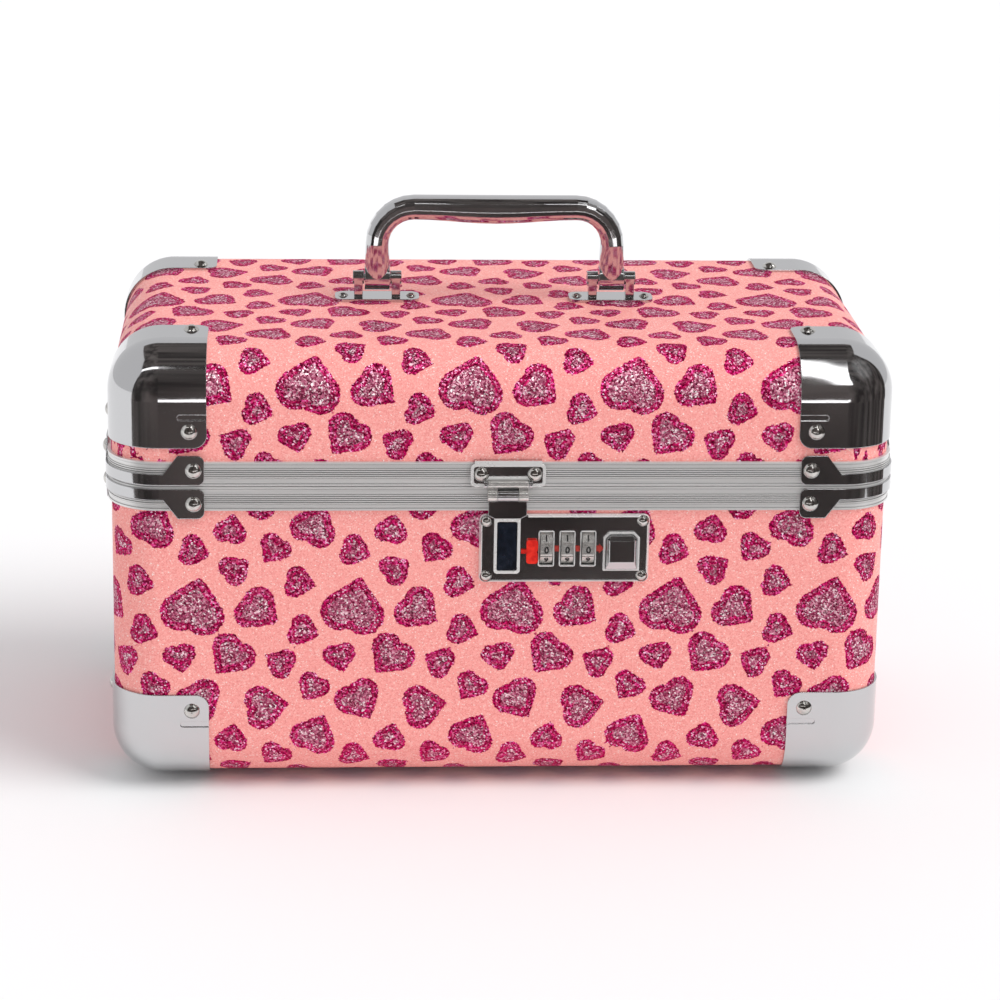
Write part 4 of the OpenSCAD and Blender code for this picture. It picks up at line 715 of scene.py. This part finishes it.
# %% Give every solid its finish
finish_of = {
    aluminium: "body_frame lid_frame",
    chrome: "body_corner_caps lid_corner_caps body_corner_clips lid_corner_clips lock_button "
            "handle handle_brackets",
    lock_chrome: "lock_plate",
    hasp_chrome: "hasp_plate",
    tongue_chrome: "hasp_tongue",
    zinc_chrome: "hasp_link dial_1 dial_2 dial_3",
    nickel: "body_cap_rivets lid_cap_rivets body_clip_rivets lid_clip_rivets lock_rivets "
            "hasp_rivets hinge_body_rivets hinge_lid_rivets bracket_rivets",
    zinc: "wall_brackets wall_bracket_rivets wall_studs hinge_body_leaves hinge_lid_leaves "
          "hinge_pins lid_tray_brackets lid_bracket_rivets handle_pins hasp_upper_pin "
          "hasp_lower_pin main_arms short_arms upper_tray_studs lower_tray_studs dial_axle "
          "lock_bolt lock_case",
    red_abs: "reset_lever",
    tray_plastic: "upper_tray lower_tray",
    frame_plastic: "mirror_frame",
    rubber: "feet",
    flock: "body_lining lid_lining",
    board: "body_board lid_board body_covering lid_covering",
    mirror: "mirror_glass",
}
for material, names in finish_of.items():
    for name in names.split():
        slots = solids[name].material_slots
        if not slots:
            solids[name].data.materials.append(material)
        for slot in slots:
            slot.material = material
left = set(solids) - set(" ".join(finish_of.values()).split())
print("solids without a finish:", sorted(left))

# %% [markdown]
# ## Numbers on the dials
# Each dial carries the ten digits. Geometry Nodes writes the whole string, keeps every digit
# as its own copy with a number, and then turns each copy to its own flat of the drum, 36
# degrees after the one before. One tree serves all three dials. The font's strokes are thin
# for a stamped digit, so a bead runs along each outline and makes them bolder. Every digit is
# a closed thin solid, like a real layer of paint.

# %% The ten digits as thin solids
bead_r, paint_depth, digit_height, digit_lift = 0.1, 0.02, 3.6, 0.03


def digit_shapes(tree, height):
    """The ten digits, each flat at the origin, with its number stored as "digit"."""
    text = add_node(tree, "GeometryNodeStringToCurves", {"String": "0123456789", "Size": height},
                    pivot_mode="MIDPOINT")
    back = add_node(tree, "ShaderNodeVectorMath", {0: text.outputs["Pivot Point"], 3: -1.0},
                    operation="SCALE")
    at_zero = add_node(tree, "GeometryNodeSetPosition",
                       {"Geometry": text.outputs[0], "Position": back.outputs[0]})
    count = add_node(tree, "GeometryNodeInputIndex")
    numbered = add_node(tree, "GeometryNodeStoreNamedAttribute",
                        {"Geometry": at_zero.outputs[0], "Name": "digit",
                         "Value": count.outputs[0]},
                        data_type="FLOAT", domain="INSTANCE").outputs[0]
    outlines = add_node(tree, "GeometryNodeRealizeInstances", {"Geometry": numbered})
    bead = add_node(tree, "GeometryNodeCurvePrimitiveCircle",
                    {"Resolution": 6, "Radius": bead_r * MM})
    bold = add_node(tree, "GeometryNodeCurveToMesh",
                    {"Curve": outlines.outputs[0], "Profile Curve": bead.outputs[0]})
    filled = add_node(tree, "GeometryNodeFillCurve", {"Curve": numbered})
    face = add_node(tree, "GeometryNodeRealizeInstances", {"Geometry": filled.outputs[0]})
    turned_over = add_node(tree, "GeometryNodeFlipFaces", {"Mesh": face.outputs[0]})
    behind = add_node(tree, "GeometryNodeExtrudeMesh",
                      {"Mesh": turned_over.outputs[0], "Offset Scale": paint_depth * MM,
                       "Individual": False})
    shapes = add_node(tree, "GeometryNodeJoinGeometry", {0: face.outputs[0]})
    tree.links.new(behind.outputs[0], shapes.inputs[0])
    tree.links.new(bold.outputs[0], shapes.inputs[0])
    return shapes.outputs[0]


print("digits:", digit_height, "mm high")

# %% Tree: a ring of digits
merge_mm = 0.0005


def digit_ring_tree(material):
    """Digits 0 to 9 laid round an X-wise drum, reading upright at its front."""
    tree = bpy.data.node_groups.new("ring_of_digits", "GeometryNodeTree")
    sockets = {}
    for name, kind, value in (("Digit height", "NodeSocketFloat", digit_height * MM),
                              ("Flat from axle", "NodeSocketFloat", 7.3 * MM),
                              ("Drum middle", "NodeSocketVector", (0, 0, 0))):
        socket = tree.interface.new_socket(name, in_out="INPUT", socket_type=kind)
        socket.default_value = value
        sockets[name] = socket.identifier
    tree.interface.new_socket("Geometry", in_out="OUTPUT", socket_type="NodeSocketGeometry")
    given = add_node(tree, "NodeGroupInput").outputs
    shapes = digit_shapes(tree, given["Digit height"])
    place = add_node(tree, "GeometryNodeInputPosition")
    x, y, z = add_node(tree, "ShaderNodeSeparateXYZ", {0: place.outputs[0]}).outputs
    radius = add_node(tree, "ShaderNodeMath", {0: given["Flat from axle"], 1: z})
    front = add_node(tree, "ShaderNodeMath", {0: radius.outputs[0], 1: -1.0}, operation="MULTIPLY")
    facing = add_node(tree, "ShaderNodeCombineXYZ", {0: x, 1: front.outputs[0], 2: y})
    digit = add_node(tree, "GeometryNodeInputNamedAttribute", {"Name": "digit"}, data_type="FLOAT")
    angle = add_node(tree, "ShaderNodeMath", {0: digit.outputs[0], 1: -math.radians(36)},
                     operation="MULTIPLY")
    turned = add_node(tree, "ShaderNodeVectorRotate",
                      {"Vector": facing.outputs[0], "Angle": angle.outputs[0]},
                      rotation_type="X_AXIS")
    placed = add_node(tree, "ShaderNodeVectorMath", {0: turned.outputs[0], 1: given["Drum middle"]})
    ring = add_node(tree, "GeometryNodeSetPosition",
                    {"Geometry": shapes, "Position": placed.outputs[0]})
    closed = add_node(tree, "GeometryNodeMergeByDistance",
                      {"Geometry": ring.outputs[0], "Distance": merge_mm * MM})
    painted = add_node(tree, "GeometryNodeSetMaterial",
                       {"Geometry": closed.outputs[0], "Material": material})
    add_node(tree, "NodeGroupOutput", {0: painted.outputs[0]})
    return tree, sockets


digit_tree, digit_inputs = digit_ring_tree(black_paint)
print("digit tree:", len(digit_tree.nodes), "nodes")


# %% Make the tree's result a plain piece
def plain_piece(name, tree, sockets, values):
    """Runs a tree on an empty mesh with the given inputs and keeps the result as a mesh."""
    carrier = bpy.data.objects.new(name, bpy.data.meshes.new(name + "_start"))
    bpy.context.scene.collection.objects.link(carrier)
    run = carrier.modifiers.new("build", "NODES")
    run.node_group = tree
    for socket, value in values.items():
        run[sockets[socket]] = value
    bpy.context.view_layer.update()
    done = carrier.evaluated_get(bpy.context.evaluated_depsgraph_get())
    mesh = bpy.data.meshes.new_from_object(done, preserve_all_data_layers=True,
                                           depsgraph=bpy.context.evaluated_depsgraph_get())
    carrier.modifiers.clear()
    carrier.data = mesh
    return carrier


for k in (1, 2, 3):
    low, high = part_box(f"dial_{k}")
    digits = plain_piece(f"digits_{k}", digit_tree, digit_inputs,
                         {"Drum middle": tuple((low + high) / 2), "Digit height": digit_height * MM,
                          "Flat from axle": (high.y - low.y) / 2 + digit_lift * MM})
    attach(digits, f"dial_{k}")
    print(digits.name, len(digits.data.polygons), "faces")

# %% [markdown]
# ## Paint on the lock
# A red line runs level with the numbers that open the lock. It passes between the dial
# windows and ends in an arrow that points at the button. The tongue's sunk face holds a
# blue-black panel, a painted reflection of the dark that its chrome mirrors. Both are thin
# solids on the metal's faces, with a small bevel that rounds the rim as thick paint does.

# %% A thin solid on a face
bevel_share = 0.4


def thin_solid(name, outlines, face_y, height, material, body):
    """Flat outlines of x and z in millimetres that stand height in front of face_y."""
    shell = bmesh.new()
    for outline in outlines:
        cap = shell.faces.new([shell.verts.new((x * MM, face_y * MM, z * MM)) for x, z in outline])
        raised = bmesh.ops.extrude_face_region(shell, geom=[cap])["geom"]
        front = [part for part in raised if isinstance(part, bmesh.types.BMVert)]
        bmesh.ops.translate(shell, vec=(0, -height * MM, 0), verts=front)
    half_way = (face_y - height / 2) * MM
    rims = [e for e in shell.edges if all(v.co.y < half_way for v in e.verts)]
    bmesh.ops.bevel(shell, geom=rims, offset=height * bevel_share * MM, segments=2,
                    affect="EDGES")
    bmesh.ops.recalc_face_normals(shell, faces=shell.faces)
    mesh = bpy.data.meshes.new(name)
    shell.to_mesh(mesh)
    shell.free()
    mesh.materials.append(material)
    piece = bpy.data.objects.new(name, mesh)
    bpy.context.scene.collection.objects.link(piece)
    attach(piece, body)
    return piece


def box_outline(low_x, high_x, low_z, high_z):
    """Four corners of an upright rectangle."""
    return [(low_x, low_z), (high_x, low_z), (high_x, high_z), (low_x, high_z)]


print("thin solids ready")

# %% Red line and arrow
dials = [[np.array(v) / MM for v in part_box(f"dial_{k}")] for k in (1, 2, 3)]
level = (dials[0][0][2] + dials[0][1][2]) / 2
half_line, half_head, clear, stem, arrow, line_height = 1.15, 1.9, 0.85, 1.0, 3.0, 0.3
gaps = [(dials[k][1][0] + clear, dials[k + 1][0][0] - clear) for k in (0, 1)]
index = [box_outline(a, b, level - half_line, level + half_line) for a, b in gaps]
tail = dials[2][1][0] + clear
index.append([(tail, level - half_line), (tail + stem, level - half_line),
              (tail + stem, level - half_head), (tail + arrow, level),
              (tail + stem, level + half_head), (tail + stem, level + half_line),
              (tail, level + half_line)])
red_paint = grained("red_stamped_paint", "#a3241c", "#c23a2c", 1.2, 0.25, 0.4)
thin_solid("index_line", index, plate_face, line_height, red_paint, "case_body")
print("line pieces:", len(index))

# %% Tongue panel, a painted dark reflection
half_panel, panel_from, panel_to, panel_height, sunk = 3.7, 1.3, 20.4, 0.25, 0.02
tongue_low, tongue_high = (np.array(v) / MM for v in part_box("hasp_tongue"))
middle_x = (tongue_low[0] + tongue_high[0]) / 2
panel = box_outline(middle_x - half_panel, middle_x + half_panel,
                    tongue_low[2] + panel_from, tongue_low[2] + panel_to)
# Painted reflection: a near-black glossy panel stands for the dark mirrored in the tongue's chrome
# face.
dark_reflection_paint = grained("painted_dark_reflection", "#0b0f17", "#161d2a", 2.5, 0.12, 0.24)
thin_solid("painted_reflection_on_tongue", [panel], tongue_field + sunk, panel_height, dark_reflection_paint, "hasp_tongue")
print("panel:", [round(float(v), 1) for v in panel[2]])
